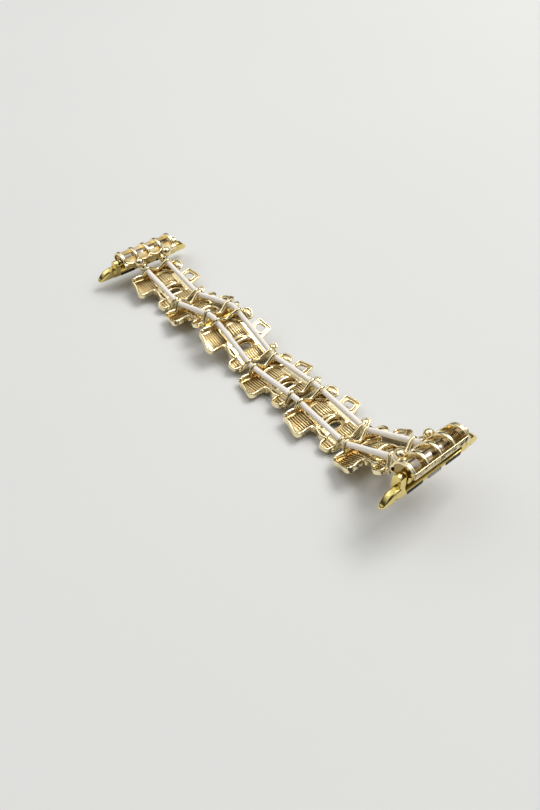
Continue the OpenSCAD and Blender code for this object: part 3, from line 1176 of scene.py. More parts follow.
@dataclass
class CastLink:
    """One cast link, the same for all six. Sizes in mm, heights from the cord line.

    Args:
        layout: The links' places.
        finishes: The strap's finishes.
        cord_y: Distance of a cord from the middle line.
        half_w: Half of the trough's width.
        front: Height of the front face.
        floor: Height of the trough's floor.
        wing_z: Height of the bed in wing and tab.
        wing_low: Height of their lower side.
        rim_z: Height of the wing's rim.
        hump: Height of an end wall over a cord.
        dip: Height of an end wall between the cords.
        foot: Height of an end wall at its two ends.
        foot_w: Half of an end wall's width.
        crown: Rise of the crowned panel.
        rib_pitch: Distance from one fine rib to the next.
        wall_half: Half of an end wall's thickness below its rim.
        notch: Height of the sheet under a cord.
        notch_half: Half of the notch's width.
        rim_r: Radius of an end wall's rolled rim.
        edge_y: Distance of the long edges from the middle line.
        loop_z: Height of the loop's plate.
        loop_low: Height of the loop's lower side.
        grid: Grid step of floor, wing and tab.
        loop_grid: Grid step of the loop.
        groove: Shade value given to the dark grooves between the fine ribs and at the feet of the
            end walls; above 1, so they get painted near-black shade.
    """

    layout: StrapLayout
    finishes: Finishes
    cord_y: float = 2.75
    half_w: float = 4.1
    front: float = -2.6
    floor: float = -1.8
    wing_z: float = -1.66
    wing_low: float = -2.15
    rim_z: float = -1.1
    hump: float = 1.0
    dip: float = -0.5
    foot: float = -1.15
    foot_w: float = 4.5
    crown: float = 0.6
    rib_pitch: float = 0.54
    wall_half: float = 0.26
    notch: float = -0.62
    notch_half: float = 0.85
    rim_r: float = 0.41
    edge_y: float = 3.95
    loop_z: float = -1.42
    loop_low: float = -1.85
    grid: float = 0.1
    loop_grid: float = 0.08
    groove: float = 1.7

    @property
    def inner(self) -> float:
        """Clear length between the end walls."""
        return self.layout.link_len - 2 * self.layout.end_wall

    @property
    def wall_places(self) -> tuple[float, float]:
        """X of the middle of the start wall and of the end wall."""
        return -self.layout.end_wall / 2, self.inner + self.layout.end_wall / 2

    def wall_top(self, y: float) -> float:
        """Height of an end wall's top edge at y: humps over the cords, a dip between.

        Args:
            y: Distance from the link's middle line, in mm.

        Returns:
            The height above the cord line, in mm.
        """
        t = abs(y) / self.cord_y
        if t < 1:
            return self.hump - (self.hump - self.dip) * (1 + math.cos(math.pi * t)) / 2
        u = (abs(y) - self.cord_y) / (self.foot_w - self.cord_y)
        return self.hump + (self.foot - self.hump) * (1 - math.cos(math.pi * u)) / 2

    def wing_outline(self) -> np.ndarray:
        """Plan of the big wing, from the start wall round to the bar.

        Returns:
            Its points in X and Y, open at the trough.
        """
        return smooth_path([(-0.55, -3.3), (-0.6, -4.6), (-0.66, -5.8), (-0.55, -6.6),
                            (0.1, -6.95), (1.3, -7.1), (2.5, -7.45), (3.6, -7.75), (4.4, -7.65),
                            (4.78, -7.0), (4.7, -6.1), (4.66, -5.2), (4.8, -4.2),
                            (4.9, -3.3)], 5)

    def tab_outline(self) -> np.ndarray:
        """Plan of the small tab."""
        return smooth_path([(8.0, -3.3), (7.98, -4.5), (8.15, -5.4), (8.7, -5.85), (9.7, -5.8),
                            (10.35, -5.45), (10.5, -4.6), (10.5, -3.3)], 5)

    @staticmethod
    def window_outline() -> np.ndarray:
        """Plan of the window under the arched bar.

        Returns:
            Its points in X and Y.
        """
        return smooth_path([(5.95, -1.2), (6.2, -1.9), (6.9, -1.9), (7.4, -1.3), (7.5, 0.0),
                            (7.45, 0.9), (7.1, 1.3), (6.5, 1.2), (6.05, 0.6), (5.9, -0.4)],
                           5, closed=True)

    def height(self, x: np.ndarray, y: np.ndarray) -> np.ndarray:
        """Height of the trough floor with its panels and grooves.

        Args:
            x: X of the points, in mm.
            y: Y of the points, in mm.

        Returns:
            The height of each point, in mm.
        """
        z = np.full(x.shape, self.floor)
        # Crowned panel, round towards the start wall, with a groove round it
        dome = np.minimum(1.95 - abs(x - 2.6), 2.3 - abs(y))
        arch = 1.9 - np.hypot(np.minimum(x - 2.45, 0), np.maximum(abs(y) - 0.4, 0))
        dome = np.minimum(dome, arch)
        bulge = 0.1 + self.crown * np.clip(1 - (y / 2.2) ** 2, 0, 1)
        z += eased(dome, 0.25) * bulge
        z -= 0.16 * np.exp(-((dome + 0.12) / 0.14) ** 2)
        # Flat panel near the end wall, with its groove
        flat = np.minimum(1.2 - abs(x - 9.05), 2.5 - abs(y - 0.1))
        z += 0.12 * eased(flat, 0.15) - 0.1 * np.exp(-((flat + 0.12) / 0.12) ** 2)
        # Rise towards the right-hand edge, and the pocket beside the right-hand cord
        z += 0.25 * eased(y - 3.1, 0.8)
        pocket = within(x, y, np.array([(-0.1, 1.2), (-0.1, 3.5), (1.4, 3.5)]))
        return np.where(pocket, self.floor - 0.4, z)

    def trough(self, s: Shells) -> None:
        """The modelled trough floor with its window and the slit beside the curved bar.

        Args:
            s: The shells that it adds to.
        """
        wall = self.layout.end_wall
        x = np.linspace(-wall, self.inner + wall, round(self.layout.link_len / self.grid) + 1)
        y = np.linspace(-self.half_w, self.half_w, round(2 * self.half_w / self.grid) + 1)
        gx, gy, cx, cy = grid_places(x, y)
        slit = (abs(cx - 6.55) < 0.95) & (abs(cy + 3.3) < 0.3)
        inside = ~within(cx, cy, self.window_outline()) & ~slit
        s.relief(x, y, self.height(gx, gy), self.front + 0.3, inside)
        rim = self.window_outline()
        s.tube(np.c_[rim, np.full(len(rim), self.floor + 0.02)], 0.12, 8, closed=True)

    def side_plates(self, s: Shells) -> None:
        """Wing and tab, each a plate with a raised band and a groove inside its rim.

        Args:
            s: The shells that it adds to.
        """
        for outline, band in ((self.wing_outline(), 0.55), (self.tab_outline(), 0.45)):
            low, high = outline.min(0), outline.max(0)
            x = np.arange(low[0], high[0] + self.grid, self.grid)
            y = np.arange(low[1], high[1] + self.grid, self.grid)
            gx, gy, cx, cy = grid_places(x, y)
            edge = np.min([np.hypot(gx - a, gy - b) for a, b in outline[3:-3]], axis=0)
            z = self.wing_z + 0.12 * np.exp(-((edge - band) / 0.12) ** 2)
            z -= 0.22 * np.exp(-((edge - band + 0.2) / 0.1) ** 2)
            s.relief(x, y, z, self.wing_low, within(cx, cy, self.inset(outline, 0.12)))

    def cushion(self, s: Shells) -> None:
        """The front face below the trough: two bevelled layers, open at the window.

        Args:
            s: The shells that it adds to.
        """
        wall = self.layout.end_wall
        for low, high, inset in ((self.front + 0.1, self.front + 0.4, 0.25),
                                 (self.front, self.front + 0.4, 0.5)):
            a, b, w = inset - wall, self.inner + wall - inset, self.half_w - inset
            for left, right, bottom, top in ((a, 5.7, -w, w), (7.7, b, -w, w),
                                             (5.7, 7.7, 1.5, w), (5.7, 7.7, -2.95, -2.1)):
                s.block((left, bottom, low), (right + 0.01, top, high))

    def end_walls(self, s: Shells) -> None:
        """The M-shaped walls: a thin sheet, notched for the cords, under a rolled rim.

        Args:
            s: The shells that it adds to.
        """
        count = 73
        y = np.linspace(-self.foot_w, self.foot_w, count)
        top = np.array([self.wall_top(v) for v in y])
        notch = np.where(abs(abs(y) - self.cord_y) < self.notch_half, self.notch, np.inf)
        for place in self.wall_places:
            x = np.full(count, place)
            s.wall(np.c_[x, y], self.wall_half, self.front + 0.15, np.minimum(top - 0.1, notch))
            s.tube(np.c_[x, y, top - self.rim_r], self.rim_r, 12)

    def rims(self, s: Shells) -> None:
        """Raised rims of wing and tab, the curved bar between them and the right edge.

        Args:
            s: The shells that it adds to.
        """
        wing, tab = self.wing_outline(), self.tab_outline()
        lift = 0.08 * np.sin(np.linspace(0, 7 * math.pi, len(wing)))
        s.wall(self.inset(wing, 0.22), 0.23, self.wing_low, self.rim_z + lift)
        s.wall(self.inset(tab, 0.2), 0.2, self.wing_low, self.rim_z - 0.12)
        bead = smooth_path([(-0.3, -4.2, -0.9), (-0.38, -5.0, -0.86), (-0.4, -5.8, -0.9)], 6)
        s.tube(bead, np.linspace(0.26, 0.36, len(bead)))
        s.ball((-0.28, -6.25, -1.02), (0.45, 0.5, 0.42))
        bar = smooth_path([(4.75, -4.4), (4.95, -3.95), (5.6, -3.78), (6.4, -3.95), (7.2, -4.1),
                           (8.0, -3.9), (8.4, -3.75)], 6)
        s.wall(bar, 0.3, self.front + 0.3, self.rim_z + 0.08)
        start, end = self.wall_places
        edge = smooth_path([(start, self.edge_y), (3.0, 3.92), (7.0, 3.92), (end, self.edge_y)], 8)
        s.wall(edge, 0.18, self.front + 0.3, -1.42)
        edge[:, 1] = -self.edge_y
        s.wall(edge[edge[:, 0] > 8.2], 0.18, self.front + 0.3, -1.4)

    @staticmethod
    def inset(path: np.ndarray, by: float) -> np.ndarray:
        """A path drawn in by a distance, towards its middle.

        Args:
            path: Points in X and Y.
            by: The distance, in mm.

        Returns:
            The path that is drawn in.
        """
        t = np.gradient(path, axis=0)
        n = np.c_[-t[:, 1], t[:, 0]] / np.linalg.norm(t, axis=1)[:, None]
        middle = path.mean(0)
        if ((middle - path) * n).sum() < 0:
            n = -n
        return path + n * by

    def loop(self, s: Shells) -> None:
        """The open loop on the right-hand side: a plate with a hole and two rims.

        Args:
            s: The shells that it adds to.
        """
        rim = smooth_path([(3.5, 3.8), (3.25, 4.8), (2.95, 5.95), (3.1, 6.6), (4.2, 6.9),
                           (5.4, 7.2), (6.1, 7.05), (6.45, 6.0), (6.75, 4.9), (7.0, 3.8)], 6)
        hole = smooth_path([(3.85, 4.7), (3.7, 5.4), (3.95, 6.1), (4.7, 6.4), (5.5, 6.4),
                            (5.85, 5.5), (6.0, 4.7), (5.4, 4.2), (4.5, 4.15)], 6, closed=True)
        x, y = np.arange(2.9, 7.1, self.loop_grid), np.arange(3.6, 7.3, self.loop_grid)
        gx, _, cx, cy = grid_places(x, y)
        inside = within(cx, cy, rim) & ~within(cx, cy, hole)
        s.relief(x, y, np.full(gx.shape, self.loop_z), self.loop_low, inside)
        s.wall(rim, 0.17, self.loop_low, self.loop_z + 0.3)
        s.tube(np.c_[hole, np.full(len(hole), -1.3)], 0.2, 10, closed=True)

    def knobs(self, s: Shells) -> None:
        """The leaf-shaped knob at the start and the small one at the end.

        Args:
            s: The shells that it adds to.
        """
        s.ball((0.55, 5.0, -1.12), (1.3, 0.82, 0.55))
        s.tube(smooth_path([(-0.45, 4.3, -1.0), (-0.6, 5.1, -0.86), (0.1, 5.8, -0.82),
                            (1.2, 5.75, -0.88), (1.9, 5.0, -1.05), (1.7, 4.2, -1.2)], 6), 0.22)
        s.ball((10.0, 4.8, -1.2), (0.8, 0.75, 0.55))
        s.tube(smooth_path([(9.2, 4.5, -1.15), (9.5, 5.4, -0.98), (10.3, 5.45, -0.98),
                            (10.8, 4.6, -1.1)], 6), 0.19)
        s.block((-0.5, 3.8, -2.1), (1.6, 4.9, -1.4))
        s.block((9.4, 3.8, -2.1), (10.7, 4.8, -1.45))

    def bosses(self, s: Shells) -> None:
        """The arched bar over the window, the leaf beside it and the beads round the panels.

        Args:
            s: The shells that it adds to.
        """
        s.tube(smooth_path([(5.6, -2.3, -2.0), (5.5, -1.5, -1.3), (5.4, -0.2, -1.0),
                            (5.55, 1.1, -1.15), (5.85, 1.9, -1.85)], 6), 0.4, 14)
        s.tube(smooth_path([(4.6, -2.0, -1.85), (4.55, -0.8, -1.3), (4.75, 0.4, -1.15),
                            (5.3, 1.4, -1.2), (6.2, 2.1, -1.5), (6.9, 2.2, -1.8)], 6), 0.24)
        s.tube(smooth_path([(1.7, -2.4, -1.75), (0.85, -1.9, -1.55), (0.48, 0.0, -1.3),
                            (0.85, 1.9, -1.55), (1.7, 2.4, -1.75)], 6), 0.15, 8)
        s.tube([(0.0, 1.05, -1.35), (0.7, 2.1, -1.4), (1.5, 3.4, -1.55)], 0.17, 8)
        s.tube([(7.75, -2.3, -1.7), (7.8, 0.2, -1.62), (7.75, 2.6, -1.7)], 0.11, 8)
        s.ball((4.2, 0.2, -1.5), (0.35, 1.5, 0.35))

    def ribs(self) -> bpy.types.Mesh:
        """The fine ribs on wing, tab and both panels, laid by Geometry Nodes.

        Returns:
            One mesh with all four fields of ribs.
        """
        material = self.finishes.casting
        pitch = (0.0, self.rib_pitch, 0.0)
        # Wing, tab, crowned panel and flat panel
        rows = (
            (rib(3.75, 0.33, 0.24), Row(7, (0.4, -6.15, self.wing_z), pitch)),
            (rib(1.75, 0.32, 0.2), Row(3, (8.4, -5.2, self.wing_z), pitch)),
            (rib(3.1, 0.33, 0.23), Row(8, (1.1, -1.89, self.floor + 0.12), pitch, self.crown)),
            (rib(2.1, 0.33, 0.22), Row(9, (8.0, -2.1, self.floor + 0.1), pitch)),
        )
        return join("ribs", *(row.mesh(bar, material) for bar, row in rows))

    def paint_groove_shade(self, casting: bpy.types.Mesh, bed: int) -> None:
        """Paints shade on the bed between the fine ribs and at the feet of the end walls, by giving
        them the groove value.

        Args:
            casting: The whole casting, with the attribute "hollow".
            bed: How many of its first points belong to the bed.
        """
        co = np.zeros(len(casting.vertices) * 3, np.float32)
        casting.vertices.foreach_get("co", co)
        x, y, z = co.reshape(-1, 3).T
        values = np.zeros(len(casting.vertices), np.float32)
        stored = casting.attributes[HOLLOW_SHADE].data
        stored.foreach_get("value", values)
        # Boxes round the ribs of the wing, the tab, the crowned panel and the flat panel
        fields = ((0.45, 4.1, -6.3, -2.85, -1.85, -1.5), (8.45, 10.1, -5.35, -3.75, -1.8, -1.5),
                  (1.15, 4.15, -2.2, 2.2, -1.82, -1.0), (8.05, 10.05, -2.35, 2.55, -1.82, -1.5))
        marked = np.zeros(len(values), bool)
        for x0, x1, y0, y1, z0, z1 in fields:
            marked |= (x > x0) & (x < x1) & (y > y0) & (y < y1) & (z > z0) & (z < z1)
        start, end = self.wall_places
        at_wall = np.minimum(abs(x - start), abs(x - end)) < self.layout.end_wall / 2
        marked |= at_wall & (z < -2.3) & (abs(y) < 4.4)
        # Painted shade: these points get the groove value, which darkens them towards near-black
        values[:bed][marked[:bed]] = self.groove
        stored.foreach_set("value", values)

    def build(self) -> None:
        """Makes the casting once and puts it in place six times."""
        s = Shells()
        for part in (self.trough, self.side_plates, self.cushion, self.end_walls, self.rims,
                     self.loop, self.knobs, self.bosses):
            part(s)
        bed = s.mesh("casting")
        casting = join("casting", bed, self.ribs())
        mark_hollow_shade(casting)
        self.paint_groove_shade(casting, len(bed.vertices))
        for number in range(1, LINKS + 1):
            body = f"link_{number}"
            piece = show(casting, f"link_casting_{number}", self.layout.link(number),
                         self.finishes.casting)
            mount(piece, body, body)
        LOG.info("links: %d faces each", len(casting.polygons))


@dataclass
class CordRun:
    """The two elastic cords, in lengths inside the links and across the bends. Sizes in mm.

    Args:
        layout: The links' and barrels' places.
        finishes: The strap's finishes.
        radius: Radius of a cord.
        spacing: Distance between the two cords.
        sides: Number of a cord's sides.
        step: Longest step along a straight length.
        bury: How far a bend's length reaches into the next start wall.
        root: How far the outermost lengths reach into a barrel's rail.
    """

    layout: StrapLayout
    finishes: Finishes
    radius: float = 0.55
    spacing: float = 5.5
    sides: int = 28
    step: float = 0.22
    bury: float = 0.3
    root: float = 1.2

    @property
    def inner(self) -> float:
        """Clear length between a link's end walls."""
        return self.layout.link_len - 2 * self.layout.end_wall

    def strands(self, name: str, path: np.ndarray) -> bpy.types.Object:
        """Two parallel cords along a path of frame points in mm, with a lay of their own.

        Args:
            name: The piece's name.
            path: Points in X and Z, in mm.

        Returns:
            The dressed object, in the frame's metres.
        """
        p = np.array(path, float)
        run = np.r_[0, np.cumsum(np.linalg.norm(np.diff(p, axis=0), axis=1))]
        t = np.gradient(p, axis=0)
        t /= np.linalg.norm(t, axis=1)[:, None]
        normal = np.c_[-t[:, 1], t[:, 0]]
        turn = round_steps(0, 360, self.sides + 1)[:-1]
        points, faces, lay = [], [], []
        for sign in (-1, 1):
            first = len(points)
            for q, m, length in zip(p, normal, run):
                for k, a in enumerate(turn):
                    out = self.radius * math.sin(a)
                    points.append((q[0] + m[0] * out,
                                   sign * self.spacing / 2 + self.radius * math.cos(a),
                                   q[1] + m[1] * out))
                    lay.append((k / self.sides, length))
            n = self.sides
            for row in range(len(p) - 1):
                a, b = first + row * n, first + (row + 1) * n
                faces += [[a + i, a + (i + 1) % n, b + (i + 1) % n, b + i] for i in range(n)]
            faces.append([first + i for i in range(n)][::-1])
            faces.append([first + (len(p) - 1) * n + i for i in range(n)])
        mesh = bpy.data.meshes.new(name)
        mesh.from_pydata((np.array(points) * MM).tolist(), [], faces)
        uv = mesh.uv_layers.new(name="lay")
        for face in mesh.polygons:
            ring = [lay[mesh.loops[i].vertex_index] for i in face.loop_indices]
            wrap = max(u for u, _ in ring) - min(u for u, _ in ring) > 0.5
            for i, (u, v) in zip(face.loop_indices, ring):
                uv.data[i].uv = (u + 1 if wrap and u < 0.5 else u, v)
        face_outwards(mesh)
        mesh.shade_smooth()
        mesh.set_sharp_from_angle(angle=math.radians(50))
        mesh.materials.append(self.finishes.cord)
        obj = bpy.data.objects.new(name, mesh)
        bpy.context.scene.collection.objects.link(obj)
        return obj

    def line(self, start: Vector, end: Vector) -> np.ndarray:
        """Points in X and Z from start to end in mm, both given in metres.

        Args:
            start: The first point.
            end: The last point.

        Returns:
            The points, one row each.
        """
        count = max(2, int((end - start).length / MM / self.step))
        share = np.linspace(0, 1, count)[:, None]
        a, b = (np.array((v.x, v.z)) / MM for v in (start, end))
        return a + (b - a) * share

    def arch(self, a: Vector, bend: Vector, b: Vector, before: Vector, after: Vector) -> np.ndarray:
        """A soft bend between two walls, straight inside both.

        Args:
            a: Where the cord leaves the first wall.
            bend: The bend point.
            b: Where it enters the second wall.
            before: Start of the straight part inside the first wall.
            after: End of the straight part inside the second wall.

        Returns:
            The points in X and Z, in mm.
        """
        p, c, q = (np.array((v.x, v.z)) / MM for v in (a, bend, b))
        t = np.linspace(0, 1, 14)[:, None]
        curve = (1 - t) ** 2 * p + 2 * t * (1 - t) * c + t**2 * q
        return np.vstack([self.line(before, a)[:-1], curve, self.line(b, after)[1:]])

    def build(self) -> None:
        """Makes the lengths in the links and those across the bends."""
        wall, inner = self.layout.end_wall, self.inner
        for number in range(1, LINKS + 1):
            place = self.layout.link(number)
            start, end = place.point(self.bury - wall, 0, 0), place.point(inner + wall, 0, 0)
            run = self.strands(f"cord_run_{number}", self.line(start, end))
            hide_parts(f"cords_{number}")
            place.point(0.1, 0, 0)
            place.point(inner, 0, 0)
            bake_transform(run)
        for k in range(LINKS + 1):
            self.bend(k)
        LOG.info("cords: %d runs and %d bends", LINKS, LINKS + 1)

    def bend(self, k: int) -> None:
        """The cords across bend point k.

        Args:
            k: The bend, from 0 at the left barrel.
        """
        wall, inner, face = self.layout.end_wall, self.inner, self.layout.rail_face
        if k == 0:
            place = self.layout.barrel(Side.LEFT)
            before, leave = place.point(face - self.root, 0, 0), place.point(face, 0, 0)
            first, stands = "barrel_left", ["cord_ends_left", "cord_neck_1"]
        else:
            place = self.layout.link(k)
            before, leave = place.point(inner, 0, 0), place.point(inner + wall, 0, 0)
            first, stands = f"cords_{k}", [f"cord_neck_{k + 1}"]
        if k == LINKS:
            place = self.layout.barrel(Side.RIGHT)
            enter, after = place.point(face, 0, 0), place.point(face - self.root, 0, 0)
            second, stands = "barrel_right", ["cord_ends_right"]
        else:
            place = self.layout.link(k + 1)
            enter, after = place.point(-wall, 0, 0), place.point(self.bury - wall, 0, 0)
            second = f"link_{k + 1}"
        path = self.arch(leave, self.layout.bends[k], enter, before, after)
        piece = self.strands(f"cord_bend_{k}", path)
        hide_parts(*stands)
        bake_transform(piece)


@dataclass
class HoopBarrel:
    """A barrel of five hoops with its cord rail, strip, end plates, balls, tube and pin.

    Sizes in mm, the pin axis along Y through the origin.

    Args:
        layout: The barrels' places.
        finishes: The strap's finishes.
        hoop_r: Outer radius of a hoop.
        tube_r: Radius of the tube, inside the hoops.
        pitch: Distance from one hoop to the next.
        hoop_w: Width of a hoop.
        half: Half of the barrel's length.
        plate: Thickness of an end plate.
        rail_low: Height of the cord rail's lower side.
        rail_high: Height of its upper side.
        rail_out: Distance of its outer side from the pin axis.
        cord_y: Distance of a cord from the middle line.
        cord_hole_r: Radius of a cord's hole.
        boss_r: Radius of the collar round a cord.
        strip_h: Half of the flat strip's height.
        strip_in: Distance of the strip's inner side from the pin axis.
        strip_out: Distance of its outer side from the pin axis.
        ball_x: Distance of a ball from the pin axis, along X.
        ball_y: Distance of a ball from the middle line.
        ball_z: Height of a ball's middle.
        ball_r: Radius of a ball.
        pin_r: Radius of the hinge pin.
        pin_half: Half of the pin's length.
        pin_hole_r: Radius of its hole in the end plates.
        dish_depth: Depth of the dish in an end plate.
        window_depth: Depth of the window at the rail's end.
        end_hoop_w: Width of the two outermost hoops, behind the end plates' rims.
        shaded: Shade value of the dishes, above 1, so they get painted shade.
        dark: Shade value of the windows, high enough to paint them near-black shade.
    """

    layout: StrapLayout
    finishes: Finishes
    hoop_r: float = 2.5
    tube_r: float = 1.4
    pitch: float = 3.16
    hoop_w: float = 0.9
    half: float = 6.77
    plate: float = 0.35
    rail_low: float = 0.2
    rail_high: float = 1.3
    rail_out: float = 2.7
    cord_y: float = 2.75
    cord_hole_r: float = 0.68
    boss_r: float = 1.02
    strip_h: float = 0.45
    strip_in: float = 1.3
    strip_out: float = 2.5
    ball_x: float = 3.28
    ball_y: float = 3.55
    ball_z: float = 1.4
    ball_r: float = 1.05
    pin_r: float = 0.75
    pin_half: float = 8.2
    pin_hole_r: float = 0.84
    dish_depth: float = 0.24
    window_depth: float = 1.2
    end_hoop_w: float = 0.58
    shaded: float = 1.4
    dark: float = 2.0

    def section(self) -> np.ndarray:
        """Outline of an end plate in X and Z: hoop, rail, lower arc and strip.

        Returns:
            Its points in X and Z, in mm.
        """
        out, low, high = self.rail_out, self.rail_low, self.rail_high
        r, lower = self.hoop_r - 0.02, self.tube_r + 0.1
        arch = [(r * math.cos(a), r * math.sin(a)) for a in round_steps(34, 188, 40)]
        under = [(lower * math.cos(a), lower * math.sin(a)) for a in round_steps(197, 352, 30)]
        rail = [(out, low), (out, high - 0.2), (out - 0.2, high)]
        return np.array(arch + under + rail)

    def frame_shells(self) -> Shells:
        """The shells that are fused: rail, collars, strip, end plates and balls.

        Returns:
            Overlapping closed shells.
        """
        s = Shells()
        out, low, high, h = self.rail_out, self.rail_low, self.rail_high, self.half
        s.plank(np.array([[1.36, low], [out, low], [out, high - 0.2], [out - 0.2, high],
                          [0.55, high], [1.1, 0.85]]), -h, h)
        inner, outer, edge = -self.strip_in, -self.strip_out, self.strip_h
        s.plank(np.array([[inner, -edge], [outer, -edge], [outer, edge], [inner, edge],
                          [inner - 0.07, 0.0]]), -h, h)
        for y in (-h, h - self.plate):
            s.plank(self.section(), y, y + self.plate)
        for sign in (-1, 1):
            s.ball((self.ball_x, sign * self.ball_y, self.ball_z), (self.ball_r,) * 3, 20)
            y = sign * self.cord_y
            s.tube([(1.5, y, 0.0), (self.layout.rail_face, y, 0.0)], self.boss_r, 28)
        return s

    def openings(self) -> Shells:
        """What is cut from the fused frame: pin holes, windows and cord holes.

        Returns:
            The cutters.
        """
        s = Shells()
        reach = self.half + 1
        s.plank(circle(self.pin_hole_r, 24), -reach, reach)
        window = np.array([(1.3, 0.38), (2.5, 0.38), (2.5, 1.0), (1.5, 1.15)])
        dish = self.section() * 0.8 + np.array([0.1, 0.12])
        for outline, depth in ((window, self.window_depth), (dish, self.dish_depth)):
            for y in (-reach, self.half - depth):
                s.plank(outline, y, y + 1 + depth)
        for y in (-self.cord_y, self.cord_y):
            s.slab(circle(self.cord_hole_r, 24, y), 1.0, 5.0)
        return s

    def hoop(self, middle: float, wide: float) -> Shells:
        """One arched hoop with a rounded section, its middle at this Y.

        Args:
            middle: Y of its middle, in mm.
            wide: Its width along Y, in mm.

        Returns:
            Its shell.
        """
        s = Shells()
        half, thick = wide / 2, self.hoop_r - self.tube_r
        profile = [(self.tube_r, middle - half), (self.tube_r, middle + half)]
        for a in round_steps(0, 180, 15):
            side = math.copysign(abs(math.cos(a)) ** 0.6, math.cos(a))
            profile.append((self.tube_r + thick * (0.55 + 0.45 * math.sin(a) ** 0.8),
                            middle + half * side))
        s.sweep(profile, 8, 190, 60)
        return s

    def hoops(self) -> bpy.types.Mesh:
        """Three full hoops laid by Geometry Nodes and a narrow one behind each end plate.

        Returns:
            The mesh of all five.
        """
        row = Row(3, (0.0, -self.pitch, 0.0), (0.0, self.pitch, 0.0))
        full = row.mesh(self.hoop(0.0, self.hoop_w).mesh("hoop", 50.0), self.finishes.casting)
        middle = self.half - self.plate - 0.2
        ends, last = (self.hoop(y, self.end_hoop_w) for y in (-middle, middle))
        ends.add(last.points, last.faces)
        return join("hoops", full, ends.mesh("end_hoops", 50.0))

    def rims(self) -> Shells:
        """Bright beads: an arched one between each two hoops and one along the rail.

        Returns:
            Their shells.
        """
        s = Shells()
        out, end = self.rail_out - 0.08, self.half - 0.2
        for k in (-1.5, -0.5, 0.5, 1.5):
            middle = k * self.pitch
            s.tube(smooth_path([(2.05, middle - 1.5, 1.5), (2.45, middle - 0.9, 1.32),
                                (out, middle, 1.18), (2.45, middle + 0.9, 1.32),
                                (2.05, middle + 1.5, 1.5)], 6), 0.18, 10)
        s.tube([(out, -end, 0.3), (out, end, 0.3)], 0.12)
        return s

    def paint_dish_shade(self, casting: bpy.types.Mesh) -> None:
        """Marks the dished faces of the end plates and their windows with painted shade, near-black
        in the windows.

        Args:
            casting: The whole casting, with the attribute "hollow".
        """
        stored = casting.attributes[HOLLOW_SHADE].data
        for vertex in casting.vertices:
            x, y, z = vertex.co
            depth = self.half - abs(y)
            # Painted shade on the dishes and, darker, in the windows
            if 0.2 < depth < 0.3 and math.hypot(x, z) < 2.2:
                stored[vertex.index].value = self.shaded
            if 0.26 < depth < 1.3 and 1.2 < x < 2.6 and 0.3 < z < 1.2:
                stored[vertex.index].value = self.dark

    def build(self) -> None:
        """Makes one barrel and puts it at both ends."""
        frame = carve(fuse(self.frame_shells(), "barrel_frame", 1), self.openings())
        casting = join("barrel", frame, self.hoops(), self.rims().mesh("rims"))
        mark_hollow_shade(casting)
        self.paint_dish_shade(casting)
        tube = self.tube_mesh()
        pin = self.pin_mesh()
        for side in Side:
            place, body = self.layout.barrel(side), f"barrel_{side.value}"
            piece = show(casting, f"hoop_barrel_{side.value}", place, self.finishes.casting)
            mount(piece, body, body)
            core = show(tube, f"core_tube_{side.value}", place, self.finishes.tube)
            mount(core, body, f"tube_{side.value}")
            rod = show(pin, f"hinge_pin_{side.value}", place, self.finishes.lug)
            mount(rod, f"lug_{side.value}", f"pin_{side.value}")
        LOG.info("barrels: %d faces each", len(casting.polygons))

    def tube_mesh(self) -> bpy.types.Mesh:
        """The polished tube with rounded end edges.

        Returns:
            Its mesh, in mm.
        """
        s = Shells()
        end, r = self.half - self.plate, self.tube_r - 0.01
        s.lathe([(0.8, -end), (r - 0.1, -end), (r, 0.1 - end), (r, 0), (r, end - 0.1),
                 (r - 0.1, end), (0.8, end)], 96, closed=True)
        return s.mesh("tube", 50.0)

    def pin_mesh(self) -> bpy.types.Mesh:
        """The hinge pin with chamfered ends and a centre mark.

        Returns:
            Its mesh, in mm.
        """
        s = Shells()
        end, r = self.pin_half, self.pin_r
        half = [(0.02, end - 0.12), (0.22, end - 0.12), (0.3, end), (r - 0.12, end),
                (r, end - 0.12)]
        s.lathe([(a, -b) for a, b in half] + half[::-1], 48)
        return s.mesh("pin", 50.0)


